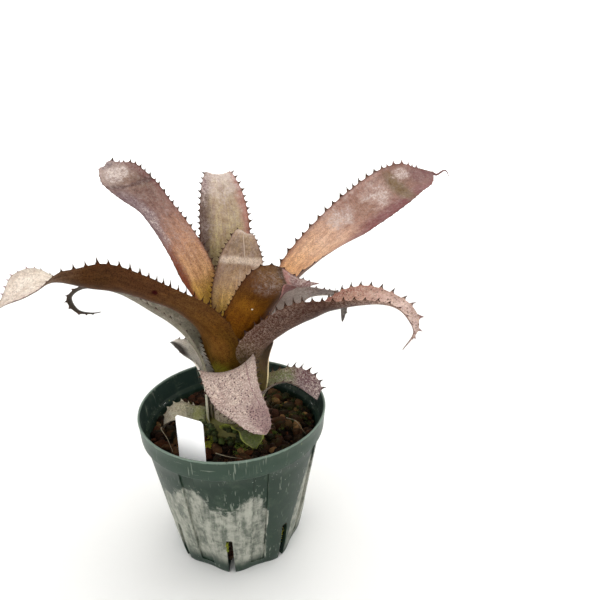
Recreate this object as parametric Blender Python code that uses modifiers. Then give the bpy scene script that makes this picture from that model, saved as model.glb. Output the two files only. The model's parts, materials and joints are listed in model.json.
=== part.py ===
"""Potted bromeliad: a slotted plastic nursery pot, coarse granular soil, a blank plant label and a
rosette of channelled leaves with spiny edges.

Metres, +Z up. The origin is the centre of the pot's underside. Sizes below are in millimetres."""

import math
import random

import bmesh
import bpy
from mathutils import Matrix, Vector

MM = 0.001
CLEARANCE = 0.3

# Pot: the 105 mm nursery size, turned, with eight recessed strips and eight drain slots
RIM_RADIUS = 52.5
POT_HEIGHT = 88.0
COLLAR_HEIGHT = 12.0
COLLAR_STEP = 2.7
RIM_THICKNESS = 1.3
FOOT_RADIUS = 36.2
FOOT_WIDTH = 3.4
KNEE_HEIGHT = 16.0
KNEE_FLARE = 3.6
MID_HEIGHT = 45.0
WALL = 1.8
FLOOR_TOP = 5.0
FLOOR_EDGE_RADIUS = 26.0
FLOOR_EDGE_DROP = 2.6
FLOOR_RECESS = 1.0
BOSS_RADIUS = 8.0
POT_SIDES = 64
LOBES = 8
LOBE_DEPTH = 1.2
LOBE_HEIGHT = 34.0
STRIP_WIDTH = 8.0
STRIP_DEPTH = 0.8
STRIP_BOTTOM = 5.0
STRIP_FOOT_RADIUS = 36.5
STRIP_MARGIN = 1.2
CUTTER_REACH = 6.0
SLOT_WIDTH = 3.6
SLOT_HEIGHT = 28.0
SLOT_INNER_END = 22.0
SLOT_OUTER_END = 52.0

# Soil: fills the pot to below the collar and heaps slightly round the stem
SOIL_AT_WALL = 71.5
SOIL_AT_STEM = 74.5
SOIL_SIDES = 40
SOIL_GAP = 0.45
GRAIN_RINGS = ((23.0, 13, 4.6), (30.5, 18, 4.4), (38.0, 23, 4.3), (44.6, 28, 3.7))
GRAIN_SEED = 7

# Stem: a short stock in a plain hole, with a cone that the leaf sheaths stand on
STEM_RADIUS = 18.0
STEM_BOTTOM = 58.0
STEM_SHOULDER = 77.0
STEM_TOP_RADIUS = 4.0
STEM_SIDES = 32
SEAT_GAP = 0.95

# Label: a plain tag pushed into the soil beside the wall, turned a little to the right
LABEL_WIDTH = 16.0
LABEL_TOP = 103.0
LABEL_LENGTH = 50.0
LABEL_THICKNESS = 0.7
LABEL_POINT = 14.0
LABEL_CORNER = 1.5
LABEL_CENTRE = (-16.2, -38.2)
LABEL_TURN = -24.0

# Leaves: sheaths stand in nested rings, and every blade is one thin toothed strap
LEAF_THICKNESS = 0.7
SHEATH_HALF_ANGLE = 49.0
CELLS_ACROSS = 4
SHEATH_STEP = 9.0
TOOTH_PITCH = 7.5
TOOTH_BASE = 1.7
TOOTH_LENGTH = 2.6
TOOTH_LEAN = 0.35
TOOTHLESS_SHARE = 0.24
TIP_HALF_WIDTH = 0.35

LEAF_GREEN = (0.22, 0.2, 0.07)
LEAF_TAN = (0.5, 0.27, 0.13)
LEAF_BROWN = (0.16, 0.08, 0.03)
LEAF_PINK = (0.45, 0.3, 0.28)
LEAF_SILVER = (0.5, 0.46, 0.4)

# Each leaf: azimuth in degrees, radius of its sheath's ring, half width and edge angle of the open
# blade, shares of the length between which the sheath opens into the blade, share where the taper
# starts and how round the tip is, roll in degrees at the sheath, the middle and the tip, colour,
# and a path of (out from the stem, up, sideways).
LEAVES = {
    "leaf_heart_back": dict(
        azimuth=67, ring=6.0, half_width=13.8, angle=31, opening=(0.24, 0.58), taper=(0.62, 2.2),
        roll=(0, 0, 10), colour=LEAF_TAN,
        path=((6.0, 119), (7.2, 143, -1.5), (10.2, 162, -3), (14, 175.5, -3), (17.6, 181, -3), (20.6, 179, -3))),
    "leaf_heart_front": dict(
        azimuth=-48, ring=7.8, half_width=13.9, angle=46, opening=(0.24, 0.6), taper=(0.6, 2.2),
        roll=(0, -14, -8), colour=LEAF_BROWN,
        path=((8.6, 113), (12.6, 133, 1.8), (21.5, 153, 4.5), (30.5, 166.6, 6), (37, 172.6, 7), (43, 170.6, 11),
              (46, 165, 17))),
    "leaf_back": dict(
        azimuth=99, ring=11.4, half_width=15.6, angle=34, opening=(0.16, 0.48), taper=(0.6, 2.2),
        roll=(0, 10, 4), colour=LEAF_SILVER,
        path=((13.4, 112), (19.4, 138.5), (27.6, 162), (34.6, 186), (41, 204.4), (49, 207.5), (57, 199))),
    "leaf_back_left": dict(
        azimuth=151, ring=7.8, half_width=11.8, angle=41, opening=(0.2, 0.5), taper=(0.8, 2.6),
        roll=(0, -15, -32), colour=LEAF_TAN,
        path=((9.6, 112.5), (15.8, 141), (25, 165.4), (40, 187), (58.6, 201.6), (74.6, 209.4), (83.6, 208.4),
              (89, 200))),
    "leaf_back_right": dict(
        azimuth=30, ring=9.6, half_width=15.6, angle=34, opening=(0.26, 0.52), taper=(0.74, 2.2),
        roll=(0, 6, 38), colour=LEAF_TAN,
        path=((11, 110), (19, 132), (35, 152), (53.3, 166.5), (75, 179.5), (97.2, 194), (118, 205),
              (132, 208), (141.5, 209.2))),
    "leaf_left_front": dict(
        azimuth=-143, ring=11.4, half_width=14.0, angle=64, opening=(0.08, 0.3), taper=(0.5, 1.5),
        roll=(0, 48, -25), colour=LEAF_BROWN,
        path=((12.8, 107), (18.4, 130), (29.6, 150.6), (44.4, 163.6), (63, 173.6), (80, 178.6), (95.5, 176),
              (108.5, 166.6))),
    "leaf_right_front": dict(
        azimuth=-16, ring=11.4, half_width=14.6, angle=64, opening=(0.19, 0.42), taper=(0.42, 1.25),
        roll=(0, -18, 25), colour=LEAF_BROWN,
        path=((12.0, 106), (18, 122.5), (30, 134.6), (45.4, 146.5), (63, 154.5), (79, 157.2), (91, 153.5),
              (96, 143.8), (91.5, 133))),
    "leaf_front_drooping": dict(
        azimuth=-81, ring=13.2, half_width=14.6, angle=42, opening=(0.2, 0.42), taper=(0.68, 2.0),
        roll=(0, 14, 22), colour=LEAF_PINK,
        path=((14.6, 100), (18.6, 112.6, -1.8), (24.4, 117.8, -2.4), (31.6, 114.6, 2), (37.2, 105.2, 8.5),
              (41.4, 93.8, 14.5))),
    "leaf_right_rear": dict(
        azimuth=26, ring=13.2, half_width=9.4, angle=44, opening=(0.22, 0.46), taper=(0.45, 1.3),
        roll=(0, -14, 0), colour=LEAF_SILVER,
        path=((14.0, 101), (20.8, 116), (32, 128.2), (46, 138.2), (57, 140.5), (62.5, 135.5), (64, 127))),
    "leaf_left_rear": dict(
        azimuth=172, ring=13.2, half_width=12.0, angle=46, opening=(0.1, 0.4), taper=(0.45, 1.3),
        roll=(0, 18, 0), colour=LEAF_SILVER,
        path=((14.0, 101), (19, 117), (29.5, 130), (44, 140), (60, 148.5), (75, 153), (86, 149.5), (89.5, 141),
              (83, 134.6), (72, 134))),
    "leaf_left_short": dict(
        azimuth=168, ring=15.0, half_width=9.5, angle=34, opening=(0.1, 0.4), taper=(0.55, 1.8),
        roll=(0, 10, 0), colour=LEAF_SILVER,
        path=((16, 98), (20.5, 109), (26, 117), (32.6, 120), (38, 117))),
    "leaf_right_low": dict(
        azimuth=6, ring=15.0, half_width=10.6, angle=38, opening=(0.06, 0.4), taper=(0.6, 1.9),
        roll=(0, 0, 22), colour=LEAF_PINK,
        path=((15.8, 90), (20, 98), (29, 101.2), (39.4, 100.2), (45.4, 96), (47.6, 89.6))),
    "leaf_front_stub": dict(
        azimuth=-64, ring=16.8, half_width=8.5, angle=44, opening=(0.04, 0.4), taper=(0.5, 2.4),
        roll=(0, 0, 0), colour=LEAF_GREEN,
        path=((18.5, 82), (24, 84.4), (30, 83), (33.4, 79))),
    "leaf_left_low": dict(
        azimuth=-172, ring=16.8, half_width=10.5, angle=38, opening=(0.04, 0.4), taper=(0.5, 1.8),
        roll=(0, 0, 0), colour=LEAF_SILVER,
        path=((18.4, 81), (23.4, 83.6), (30, 84.4), (36.4, 81.4), (39, 77))),
    "leaf_rear_low": dict(
        azimuth=88, ring=16.8, half_width=11.0, angle=38, opening=(0.1, 0.45), taper=(0.55, 1.8),
        roll=(0, 0, 0), colour=LEAF_PINK,
        path=((17.6, 91), (21, 101), (30, 106), (39, 101), (45, 92))),
}


def clear_scene():
    for item in list(bpy.data.objects):
        bpy.data.objects.remove(item, do_unlink=True)


def make_collection(name):
    collection = bpy.data.collections.new(name)
    bpy.context.scene.collection.children.link(collection)
    return collection


def make_material(name, colour, roughness):
    material = bpy.data.materials.new(name)
    material.use_nodes = True
    shader = material.node_tree.nodes["Principled BSDF"]
    shader.inputs["Base Color"].default_value = (*colour, 1.0)
    shader.inputs["Roughness"].default_value = roughness
    shader.inputs["Metallic"].default_value = 0.0
    return material


def add_object(name, bm, collection, material=None):
    """Scales a bmesh from millimetres to metres and links it as an object."""
    bmesh.ops.scale(bm, vec=(MM, MM, MM), verts=bm.verts)
    mesh = bpy.data.meshes.new(name)
    bm.to_mesh(mesh)
    bm.free()
    item = bpy.data.objects.new(name, mesh)
    collection.objects.link(item)
    if material:
        mesh.materials.append(material)
        mesh.shade_smooth()
        mesh.set_sharp_from_angle(angle=math.radians(35))
    return item


def turned(profile, sides):
    """A solid turned round Z from a profile of (radius, height) that starts and ends on the axis."""
    bm = bmesh.new()
    verts = [bm.verts.new((radius, 0, height)) for radius, height in profile]
    edges = [bm.edges.new(pair) for pair in zip(verts, verts[1:])]
    bmesh.ops.spin(bm, geom=verts + edges, cent=(0, 0, 0), axis=(0, 0, 1), angle=math.tau,
                   steps=sides, use_merge=True)
    bmesh.ops.remove_doubles(bm, verts=bm.verts, dist=0.01)
    bmesh.ops.recalc_face_normals(bm, faces=bm.faces)
    return bm


def box(size, place):
    bm = bmesh.new()
    bmesh.ops.create_cube(bm, size=1.0, matrix=place @ Matrix.Diagonal((*size, 1.0)))
    return bm


def boolean(item, operation, helpers):
    """Cuts or joins every object of a collection with the item, in one step, and applies it."""
    modifier = item.modifiers.new(operation.lower(), "BOOLEAN")
    modifier.operation = operation
    modifier.operand_type = "COLLECTION"
    modifier.collection = helpers
    modifier.solver = "EXACT"
    graph = bpy.context.evaluated_depsgraph_get()
    applied = bpy.data.meshes.new_from_object(item.evaluated_get(graph))
    item.modifiers.clear()
    item.data = applied
    for helper in list(helpers.objects):
        bpy.data.objects.remove(helper, do_unlink=True)


def smoothstep(low, high, value):
    share = min(max((value - low) / (high - low), 0.0), 1.0)
    return share * share * (3.0 - 2.0 * share)


# Pot


def outer_wall_radius(height):
    """Outer radius of the body below the collar, from the foot to the step."""
    top_radius = RIM_RADIUS - COLLAR_STEP
    knee_radius = FOOT_RADIUS + KNEE_FLARE
    if height < KNEE_HEIGHT:
        return FOOT_RADIUS + KNEE_FLARE * height / KNEE_HEIGHT
    share = (height - KNEE_HEIGHT) / (POT_HEIGHT - COLLAR_HEIGHT - KNEE_HEIGHT)
    return knee_radius + (top_radius - knee_radius) * share


def pot_profile():
    step = POT_HEIGHT - COLLAR_HEIGHT
    rim_inner = RIM_RADIUS - RIM_THICKNESS
    return (
        (0, FLOOR_TOP),
        (FLOOR_EDGE_RADIUS, FLOOR_TOP),
        (FOOT_RADIUS - WALL, FLOOR_TOP - FLOOR_EDGE_DROP),
        (outer_wall_radius(KNEE_HEIGHT) - WALL, KNEE_HEIGHT),
        (outer_wall_radius(MID_HEIGHT) - WALL, MID_HEIGHT),
        (outer_wall_radius(step) - WALL, step - 1.5),
        (rim_inner - RIM_THICKNESS, step + 0.4),
        (rim_inner, POT_HEIGHT - 0.6),
        (rim_inner + 0.5, POT_HEIGHT),
        (RIM_RADIUS, POT_HEIGHT),
        (RIM_RADIUS, POT_HEIGHT - 1.2),
        (RIM_RADIUS - 0.9, step + 0.5),
        (outer_wall_radius(step), step - 0.4),
        (outer_wall_radius(MID_HEIGHT), MID_HEIGHT),
        (outer_wall_radius(30), 30),
        (outer_wall_radius(KNEE_HEIGHT), KNEE_HEIGHT),
        (outer_wall_radius(7), 7),
        (FOOT_RADIUS, 0),
        (FOOT_RADIUS - FOOT_WIDTH, 0),
        (FOOT_RADIUS - FOOT_WIDTH - 1.2, FLOOR_RECESS),
        (BOSS_RADIUS + 1, FLOOR_RECESS),
        (BOSS_RADIUS, 0),
        (0, 0),
    )


def lobe_offset(angle, height):
    """How far the wall swells outwards at the slots and draws in between them, near the foot."""
    share = 1.0 - smoothstep(0.0, LOBE_HEIGHT, height)
    return LOBE_DEPTH * share * math.cos(LOBES * angle)


def make_pot(collection, cutters, material):
    bm = turned(pot_profile(), POT_SIDES)
    for vert in bm.verts:
        radius = math.hypot(vert.co.x, vert.co.y)
        if radius > FOOT_RADIUS - FOOT_WIDTH - 0.6:
            angle = math.atan2(vert.co.y, vert.co.x)
            scale = 1.0 + lobe_offset(angle, vert.co.z) / radius
            vert.co.x *= scale
            vert.co.y *= scale
    pot = add_object("pot", bm, collection, material)
    strip_top = POT_HEIGHT - COLLAR_HEIGHT - STRIP_MARGIN
    top_radius = outer_wall_radius(strip_top)
    rise = strip_top - STRIP_BOTTOM
    slope = math.atan2(top_radius - STRIP_FOOT_RADIUS, rise)
    middle = Vector(((STRIP_FOOT_RADIUS + top_radius) / 2, 0, (STRIP_BOTTOM + strip_top) / 2))
    strip_size = (CUTTER_REACH, STRIP_WIDTH, rise / math.cos(slope))
    strip_place = (Matrix.Translation(middle) @ Matrix.Rotation(slope, 4, "Y")
                   @ Matrix.Translation((CUTTER_REACH / 2 - STRIP_DEPTH, 0, 0)))
    slot_size = (SLOT_OUTER_END - SLOT_INNER_END, SLOT_WIDTH, SLOT_HEIGHT + 2)
    slot_place = Matrix.Translation(((SLOT_INNER_END + SLOT_OUTER_END) / 2, 0, SLOT_HEIGHT / 2 - 1))
    for index in range(LOBES):
        slot_turn = Matrix.Rotation(math.tau * index / LOBES, 4, "Z")
        strip_turn = Matrix.Rotation(math.tau * (index + 0.5) / LOBES, 4, "Z")
        add_object(f"slot_cutter_{index}", box(slot_size, slot_turn @ slot_place), cutters)
        add_object(f"strip_cutter_{index}", box(strip_size, strip_turn @ strip_place), cutters)
    boolean(pot, "DIFFERENCE", cutters)


# Soil


def soil_height(radius):
    share = smoothstep(STEM_RADIUS, RIM_RADIUS - 6.0, radius)
    return SOIL_AT_STEM + (SOIL_AT_WALL - SOIL_AT_STEM) * share


def soil_radius(height):
    """Radius of the soil's side, clear of the wall where it draws in between the slots."""
    drawn_in = lobe_offset(0.0, height)
    return outer_wall_radius(height) - WALL - drawn_in - SOIL_GAP


def soil_profile():
    hole = STEM_RADIUS + CLEARANCE
    bottom = STEM_BOTTOM - CLEARANCE
    return (
        (0, bottom),
        (hole, bottom),
        (hole, soil_height(hole)),
        (34, soil_height(34)),
        (soil_radius(SOIL_AT_WALL), SOIL_AT_WALL),
        (soil_radius(MID_HEIGHT), MID_HEIGHT),
        (soil_radius(KNEE_HEIGHT), KNEE_HEIGHT),
        (soil_radius(FLOOR_TOP) - 1.5, FLOOR_TOP + SOIL_GAP),
        (0, FLOOR_TOP + SOIL_GAP),
    )


def label_place(height):
    return (Matrix.Translation((*LABEL_CENTRE, height))
            @ Matrix.Rotation(math.radians(LABEL_TURN), 4, "Z"))


def near_label(point, margin):
    local = label_place(0).inverted() @ Vector((point[0], point[1], 0))
    return abs(local.x) < LABEL_WIDTH / 2 + margin and abs(local.y) < margin


def make_soil(collection, cutters, material):
    soil = add_object("soil", turned(soil_profile(), SOIL_SIDES), collection, material)
    draw = random.Random(GRAIN_SEED)
    for ring, (radius, count, size) in enumerate(GRAIN_RINGS):
        for index in range(count):
            angle = math.tau * (index + 0.5 * ring) / count + draw.uniform(-0.05, 0.05)
            distance = radius + draw.uniform(-0.8, 0.8)
            reach = size * draw.uniform(0.85, 1.1)
            squash = draw.uniform(0.6, 0.85)
            spin = draw.uniform(0, math.tau)
            distance = min(distance, outer_wall_radius(SOIL_AT_WALL - 3) - WALL - 0.6 - reach)
            place = Vector((distance * math.cos(angle), distance * math.sin(angle), 0))
            place.z = soil_height(distance) - 0.25 * reach
            if near_label(place, 1.5):
                continue
            bm = bmesh.new()
            turn = Matrix.Translation(place) @ Matrix.Rotation(spin, 4, "Z") @ Matrix.Rotation(0.4, 4, "X")
            turn @= Matrix.Diagonal((1.0, squash, squash, 1.0))
            bmesh.ops.create_icosphere(bm, subdivisions=1, radius=reach, matrix=turn)
            add_object(f"grain_{ring}_{index}", bm, cutters)
    boolean(soil, "UNION", cutters)
    slot_depth = LABEL_LENGTH + 2 * CLEARANCE
    slot_size = (LABEL_WIDTH + 2 * CLEARANCE, LABEL_THICKNESS + 2 * CLEARANCE, slot_depth)
    add_object("label_cutter", box(slot_size, label_place(LABEL_TOP - LABEL_LENGTH / 2)), cutters)
    boolean(soil, "DIFFERENCE", cutters)


# Stem and label


def seat_height(radius):
    """Height of the stem's cone at a radius: inner leaf rings stand higher."""
    return STEM_SHOULDER + STEM_RADIUS - radius


def make_stem(collection, material):
    profile = (
        (0, seat_height(STEM_TOP_RADIUS) + 1.2),
        (STEM_TOP_RADIUS * 0.6, seat_height(STEM_TOP_RADIUS) + 0.9),
        (STEM_TOP_RADIUS, seat_height(STEM_TOP_RADIUS)),
        (STEM_RADIUS, STEM_SHOULDER),
        (STEM_RADIUS, STEM_BOTTOM + 3),
        (STEM_RADIUS - 3, STEM_BOTTOM),
        (0, STEM_BOTTOM),
    )
    add_object("stem", turned(profile, STEM_SIDES), collection, material)


def make_label(collection, material):
    half = LABEL_WIDTH / 2
    outline = (
        (-half, 0),
        (-half, -LABEL_LENGTH + LABEL_POINT),
        (-2, -LABEL_LENGTH),
        (2, -LABEL_LENGTH),
        (half, -LABEL_LENGTH + LABEL_POINT),
        (half, -LABEL_CORNER),
        (half - LABEL_CORNER, 0),
    )
    bm = bmesh.new()
    verts = [bm.verts.new((x, -LABEL_THICKNESS / 2, z)) for x, z in outline]
    face = bm.faces.new(verts)
    grown = bmesh.ops.extrude_face_region(bm, geom=[face])["geom"]
    moved = [item for item in grown if isinstance(item, bmesh.types.BMVert)]
    bmesh.ops.translate(bm, verts=moved, vec=(0, LABEL_THICKNESS, 0))
    bmesh.ops.recalc_face_normals(bm, faces=bm.faces)
    bmesh.ops.transform(bm, matrix=label_place(LABEL_TOP), verts=bm.verts)
    add_object("label", bm, collection, material)


# Leaves


def catmull(points, share):
    """A smooth curve through points, read at a share of its control steps."""
    steps = len(points) - 1
    at = min(max(share, 0.0), 0.999999) * steps
    index = int(at)
    t = at - index
    p1 = points[index]
    p2 = points[index + 1]
    p0 = points[index - 1] if index else p1 * 2 - p2
    p3 = points[index + 2] if index + 2 <= steps else p2 * 2 - p1
    return 0.5 * ((2 * p1) + (p2 - p0) * t + (2 * p0 - 5 * p1 + 4 * p2 - p3) * t * t
                  + (3 * p1 - p0 - 3 * p2 + p3) * t * t * t)


class Midrib:
    """A leaf's centreline, read by its length in millimetres from the foot of the sheath."""

    SAMPLES = 240

    def __init__(self, leaf):
        ring = leaf["ring"]
        azimuth = math.radians(leaf["azimuth"])
        self.out = Vector((math.cos(azimuth), math.sin(azimuth), 0))
        self.side = Vector((-math.sin(azimuth), math.cos(azimuth), 0))
        path = [(ring, seat_height(ring) + SEAT_GAP), *leaf["path"]]
        controls = [self.place(*(*step, 0.0)[:3]) for step in path]
        self.points = [catmull(controls, index / self.SAMPLES) for index in range(self.SAMPLES + 1)]
        self.lengths = [0.0]
        for first, second in zip(self.points, self.points[1:]):
            self.lengths.append(self.lengths[-1] + (second - first).length)
        self.length = self.lengths[-1]

    def place(self, out, up, side):
        return self.out * out + self.side * side + Vector((0, 0, up))

    def at(self, length):
        length = min(max(length, 0.0), self.length)
        index = 0
        while index < self.SAMPLES - 1 and self.lengths[index + 1] < length:
            index += 1
        span = self.lengths[index + 1] - self.lengths[index]
        return self.points[index].lerp(self.points[index + 1], (length - self.lengths[index]) / span)

    def frame(self, length, roll):
        """Centre, across and upper-face directions at a length, turned by the roll."""
        step = 1.5
        along = (self.at(length + step) - self.at(length - step)).normalized()
        across = (self.side - along * self.side.dot(along)).normalized()
        upper = along.cross(across)
        turn = Matrix.Rotation(roll, 3, along)
        return self.at(length), turn @ across, turn @ upper


def blade_shape(leaf, share):
    """Half width, edge angle and roll at a share of the leaf's length."""
    sheath_angle = math.radians(SHEATH_HALF_ANGLE)
    opening = smoothstep(*leaf["opening"], share)
    sheath_width = leaf["ring"] * sheath_angle
    width = sheath_width + (leaf["half_width"] - sheath_width) * opening
    angle = sheath_angle + (math.radians(leaf["angle"]) - sheath_angle) * opening
    start, roundness = leaf["taper"]
    if share > start:
        width *= max(1.0 - ((share - start) / (1.0 - start)) ** roundness, 0.0)
    foot, middle, tip = leaf["roll"]
    if share < 0.5:
        roll = foot + (middle - foot) * smoothstep(0.12, 0.5, share)
    else:
        roll = middle + (tip - middle) * smoothstep(0.55, 0.92, share)
    return max(width, TIP_HALF_WIDTH), angle, math.radians(roll)


def blade_point(midrib, leaf, length, across):
    """A point of the blade's surface: across runs from -1 to 1 between the edges."""
    width, angle, roll = blade_shape(leaf, length / midrib.length)
    centre, side, upper = midrib.frame(length, roll)
    bend = width / angle
    turn = angle * across
    return centre + side * (bend * math.sin(turn)) + upper * (bend * (1.0 - math.cos(turn)))


def tooth_stations(midrib):
    """Lengths of the cross rows, and which of the steps between them carry teeth."""
    bare = TOOTHLESS_SHARE * midrib.length
    rows = [SHEATH_STEP * index for index in range(int(bare / SHEATH_STEP) + 1)]
    toothed = []
    at = rows[-1] + SHEATH_STEP * 0.7
    while at < midrib.length - TOOTH_PITCH * 0.45:
        toothed.append(len(rows))
        rows += [at, at + TOOTH_BASE]
        at += TOOTH_PITCH
    rows.append(midrib.length)
    return rows, toothed


def make_leaf(name, leaf, collection, material):
    midrib = Midrib(leaf)
    rows, toothed = tooth_stations(midrib)
    bm = bmesh.new()
    bmesh.ops.create_grid(bm, x_segments=CELLS_ACROSS, y_segments=len(rows) - 1, size=1.0)
    row_of = {}
    for vert in bm.verts:
        across = vert.co.x
        row = round((vert.co.y + 1.0) / 2.0 * (len(rows) - 1))
        row_of[vert] = row
        vert.co = blade_point(midrib, leaf, rows[row], across)
    edges = [edge for edge in bm.edges if edge.is_boundary]
    for edge in edges:
        low, high = sorted(edge.verts, key=row_of.get)
        if row_of[high] - row_of[low] != 1 or row_of[low] not in toothed:
            continue
        inner = next(other.other_vert(low) for other in low.link_edges
                     if row_of[other.other_vert(low)] == row_of[low])
        outward = (low.co - inner.co).normalized()
        along = (high.co - low.co).normalized()
        share = rows[row_of[low]] / midrib.length
        reach = TOOTH_LENGTH * (1.0 - 0.45 * smoothstep(0.6, 1.0, share))
        tip = (low.co + high.co) / 2 + (outward + along * TOOTH_LEAN) * reach
        grown = bmesh.ops.extrude_edge_only(bm, edges=[edge])["geom"]
        ends = [item for item in grown if isinstance(item, bmesh.types.BMVert)]
        for vert in ends:
            row_of[vert] = -1
        bmesh.ops.pointmerge(bm, verts=ends, merge_co=tip)
    last = [vert for vert, row in row_of.items() if vert.is_valid and row == len(rows) - 1]
    bmesh.ops.pointmerge(bm, verts=last, merge_co=midrib.at(midrib.length))
    bmesh.ops.triangulate(bm, faces=bm.faces)
    item = add_object(name, bm, collection, material)
    solidify = item.modifiers.new("thickness", "SOLIDIFY")
    solidify.thickness = LEAF_THICKNESS * MM
    solidify.offset = 0.0


def main():
    clear_scene()
    plant = make_collection("potted_bromeliad")
    helpers = make_collection("helpers")
    helpers.hide_render = True
    make_pot(plant, helpers, make_material("green_plastic", (0.03, 0.09, 0.07), 0.5))
    make_soil(plant, helpers, make_material("granular_soil", (0.12, 0.06, 0.03), 0.9))
    make_stem(plant, make_material("stem", (0.2, 0.2, 0.08), 0.7))
    make_label(plant, make_material("white_plastic", (0.85, 0.86, 0.9), 0.45))
    for name, leaf in LEAVES.items():
        make_leaf(name, leaf, plant, make_material(name, leaf["colour"], 0.6))


main()
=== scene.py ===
"""Potted bromeliad, dressed: fine leaf blades with spines and silver scales, granular soil with moss,
a turned and slotted pot with lime marks, and a bare label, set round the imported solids.

Sizes are in millimetres and are scaled to metres when a piece is finished. Finishes read object
coordinates, so their sizes are in metres and their noise scales per metre. Angles in constants and in
the leaf table are in degrees, apart from those whose comment says radians."""

import bisect
import json
import math
import random

import bmesh
import bpy
from mathutils import Matrix, Vector, noise

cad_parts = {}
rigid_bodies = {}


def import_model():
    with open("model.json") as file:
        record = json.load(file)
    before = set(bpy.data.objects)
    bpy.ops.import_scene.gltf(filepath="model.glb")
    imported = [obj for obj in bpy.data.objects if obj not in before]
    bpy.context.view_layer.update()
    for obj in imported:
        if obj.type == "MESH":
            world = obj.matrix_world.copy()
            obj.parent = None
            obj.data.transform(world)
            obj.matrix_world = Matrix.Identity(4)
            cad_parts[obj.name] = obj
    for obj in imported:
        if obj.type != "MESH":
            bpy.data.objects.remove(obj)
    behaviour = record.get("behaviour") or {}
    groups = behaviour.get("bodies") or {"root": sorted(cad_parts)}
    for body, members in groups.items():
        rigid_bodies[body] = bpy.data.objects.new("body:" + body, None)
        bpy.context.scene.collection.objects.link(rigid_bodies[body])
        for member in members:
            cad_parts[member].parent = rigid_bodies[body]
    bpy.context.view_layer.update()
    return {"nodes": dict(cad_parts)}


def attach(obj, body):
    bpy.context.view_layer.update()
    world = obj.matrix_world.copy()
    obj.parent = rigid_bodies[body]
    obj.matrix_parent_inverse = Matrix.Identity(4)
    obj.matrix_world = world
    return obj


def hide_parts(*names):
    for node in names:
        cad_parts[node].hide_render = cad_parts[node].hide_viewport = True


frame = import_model()

MM = 0.001

# Camera and room, in metres
CAMERA_PLACE = (0.038, -0.243, 0.2433)
CAMERA_TILT = 69.05
CAMERA_LENS = 29.7
SENSOR_WIDTH = 36.0
FLOOR_RADIUS = 1.1
FLOOR_SIDES = 96
COVE_RADIUS = 0.5
COVE_STEPS = 12
COVE_TOP = 2.0
FLOOR_GLOW = 0.45
WORLD_LIGHT = 0.25

# Pot, as in the part's source
RIM_RADIUS = 52.5
POT_HEIGHT = 88.0
COLLAR_HEIGHT = 12.0
COLLAR_STEP = 2.7
RIM_THICKNESS = 1.3
FOOT_RADIUS = 36.2
FOOT_WIDTH = 3.4
KNEE_HEIGHT = 16.0
KNEE_FLARE = 3.6
WALL = 1.8
FLOOR_TOP = 5.0
FLOOR_EDGE_RADIUS = 26.0
FLOOR_EDGE_DROP = 2.6
FLOOR_RECESS = 1.0
BOSS_RADIUS = 8.0
POT_SIDES = 192
LOBES = 8
LOBE_DEPTH = 1.2
LOBE_HEIGHT = 34.0
STRIP_WIDTH = 8.0
STRIP_DEPTH = 0.8
STRIP_BOTTOM = 5.0
STRIP_FOOT_RADIUS = 36.5
STRIP_MARGIN = 1.2
CUTTER_REACH = 6.0
SLOT_WIDTH = 3.6
SLOT_HEIGHT = 28.0
SLOT_INNER_END = 22.0
SLOT_OUTER_END = 52.0
SLOT_ROUNDING = 0.9
NICK_PLACE = (3.2, -52.5, POT_HEIGHT + 0.15)
NICK_SIZE = (0.8, 1.6, 0.9, 1.0)
EDGE_BEVEL = 0.22
LIME_SPAN = 80.0

# Soil
SOIL_AT_WALL = 71.5
SOIL_AT_STEM = 74.5
SOIL_SIDES = 96
SOIL_GAP = 0.45
SOIL_REACH = 47.0
SOIL_CRUST = 1.2
BED_TONE = 0.12
STEM_RADIUS = 18.0
STEM_HOLE = STEM_RADIUS + 0.3
HOLE_BOTTOM = 57.7
GRANULES = 520
GRANULE_SIZES = (1.1, 1.4, 1.8, 2.2, 2.7, 3.3)
GRANULE_SEED = 11
SLOT_GRANULES = 96
MOSS_SEED = 23
LUMPS = 44
LUMP_ARC = (-158.0, -50.0)
LUMP_HEIGHTS = (75.0, 82.5)
SLOT_TUFTS = 9
FIBRE_RADIUS = 0.3
FIBRE_TONE = 1.3
GOLDEN_ANGLE = 2.399963  # in radians

# Label
LABEL_WIDTH = 16.0
LABEL_TOP = 103.0
LABEL_LENGTH = 50.0
LABEL_THICKNESS = 0.7
LABEL_POINT = 14.0
LABEL_TAPER = 0.78
LABEL_CENTRE = (-16.2, -38.2)
LABEL_TURN = -24.0
LABEL_CORNERS = (1.0, 1.6)
LABEL_BEVEL = 0.15

# Leaves
STEM_SHOULDER = 77.0
SEAT_GAP = 0.95
BLADE_THICKNESS = 0.9
BLADE_COLUMNS = (0.0, 0.16, 0.33, 0.5, 0.66, 0.8, 0.9, 0.96, 1.0)
# A tooth's rows: offset from its middle as a share of the pitch, and reach as a share of its length
TOOTH_ROWS = ((-0.5, 0.0), (-0.34, 0.0), (-0.22, 0.1), (-0.11, 0.42), (0.0, 1.0), (0.08, 0.4),
              (0.18, 0.1), (0.32, 0.0))
TOOTH_SPREAD = (0.75, 1.12)
TOOTH_LEAN = 0.35
PLAIN_TOOTH = 0.15
MOST_TEETH = 90
LAST_TOOTH = 0.985
SHEATH_STEP = 2.5
TIP_STEP = 1.2
TIP_HALF_WIDTH = 0.5
MARGIN_DRIFT = 0.3
PUCKER = 0.22
SHEATH_WRAP = 0.55
SPREADS_OVER = (0.12, 0.4)
OPENS_OVER = (0.2, 0.48)
NET_WANDER = 0.0012
TAIL_RADIUS = 0.85
THREAD_STEPS = 20
THREAD_SIDES = 6


def shade(digits):
    """A colour given by six hex digits, as linear light with full alpha."""
    channels = [int(digits[at:at + 2], 16) / 255 for at in (0, 2, 4)]
    return (*(c / 12.92 if c <= 0.04045 else ((c + 0.055) / 1.055) ** 2.4 for c in channels), 1.0)


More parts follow.
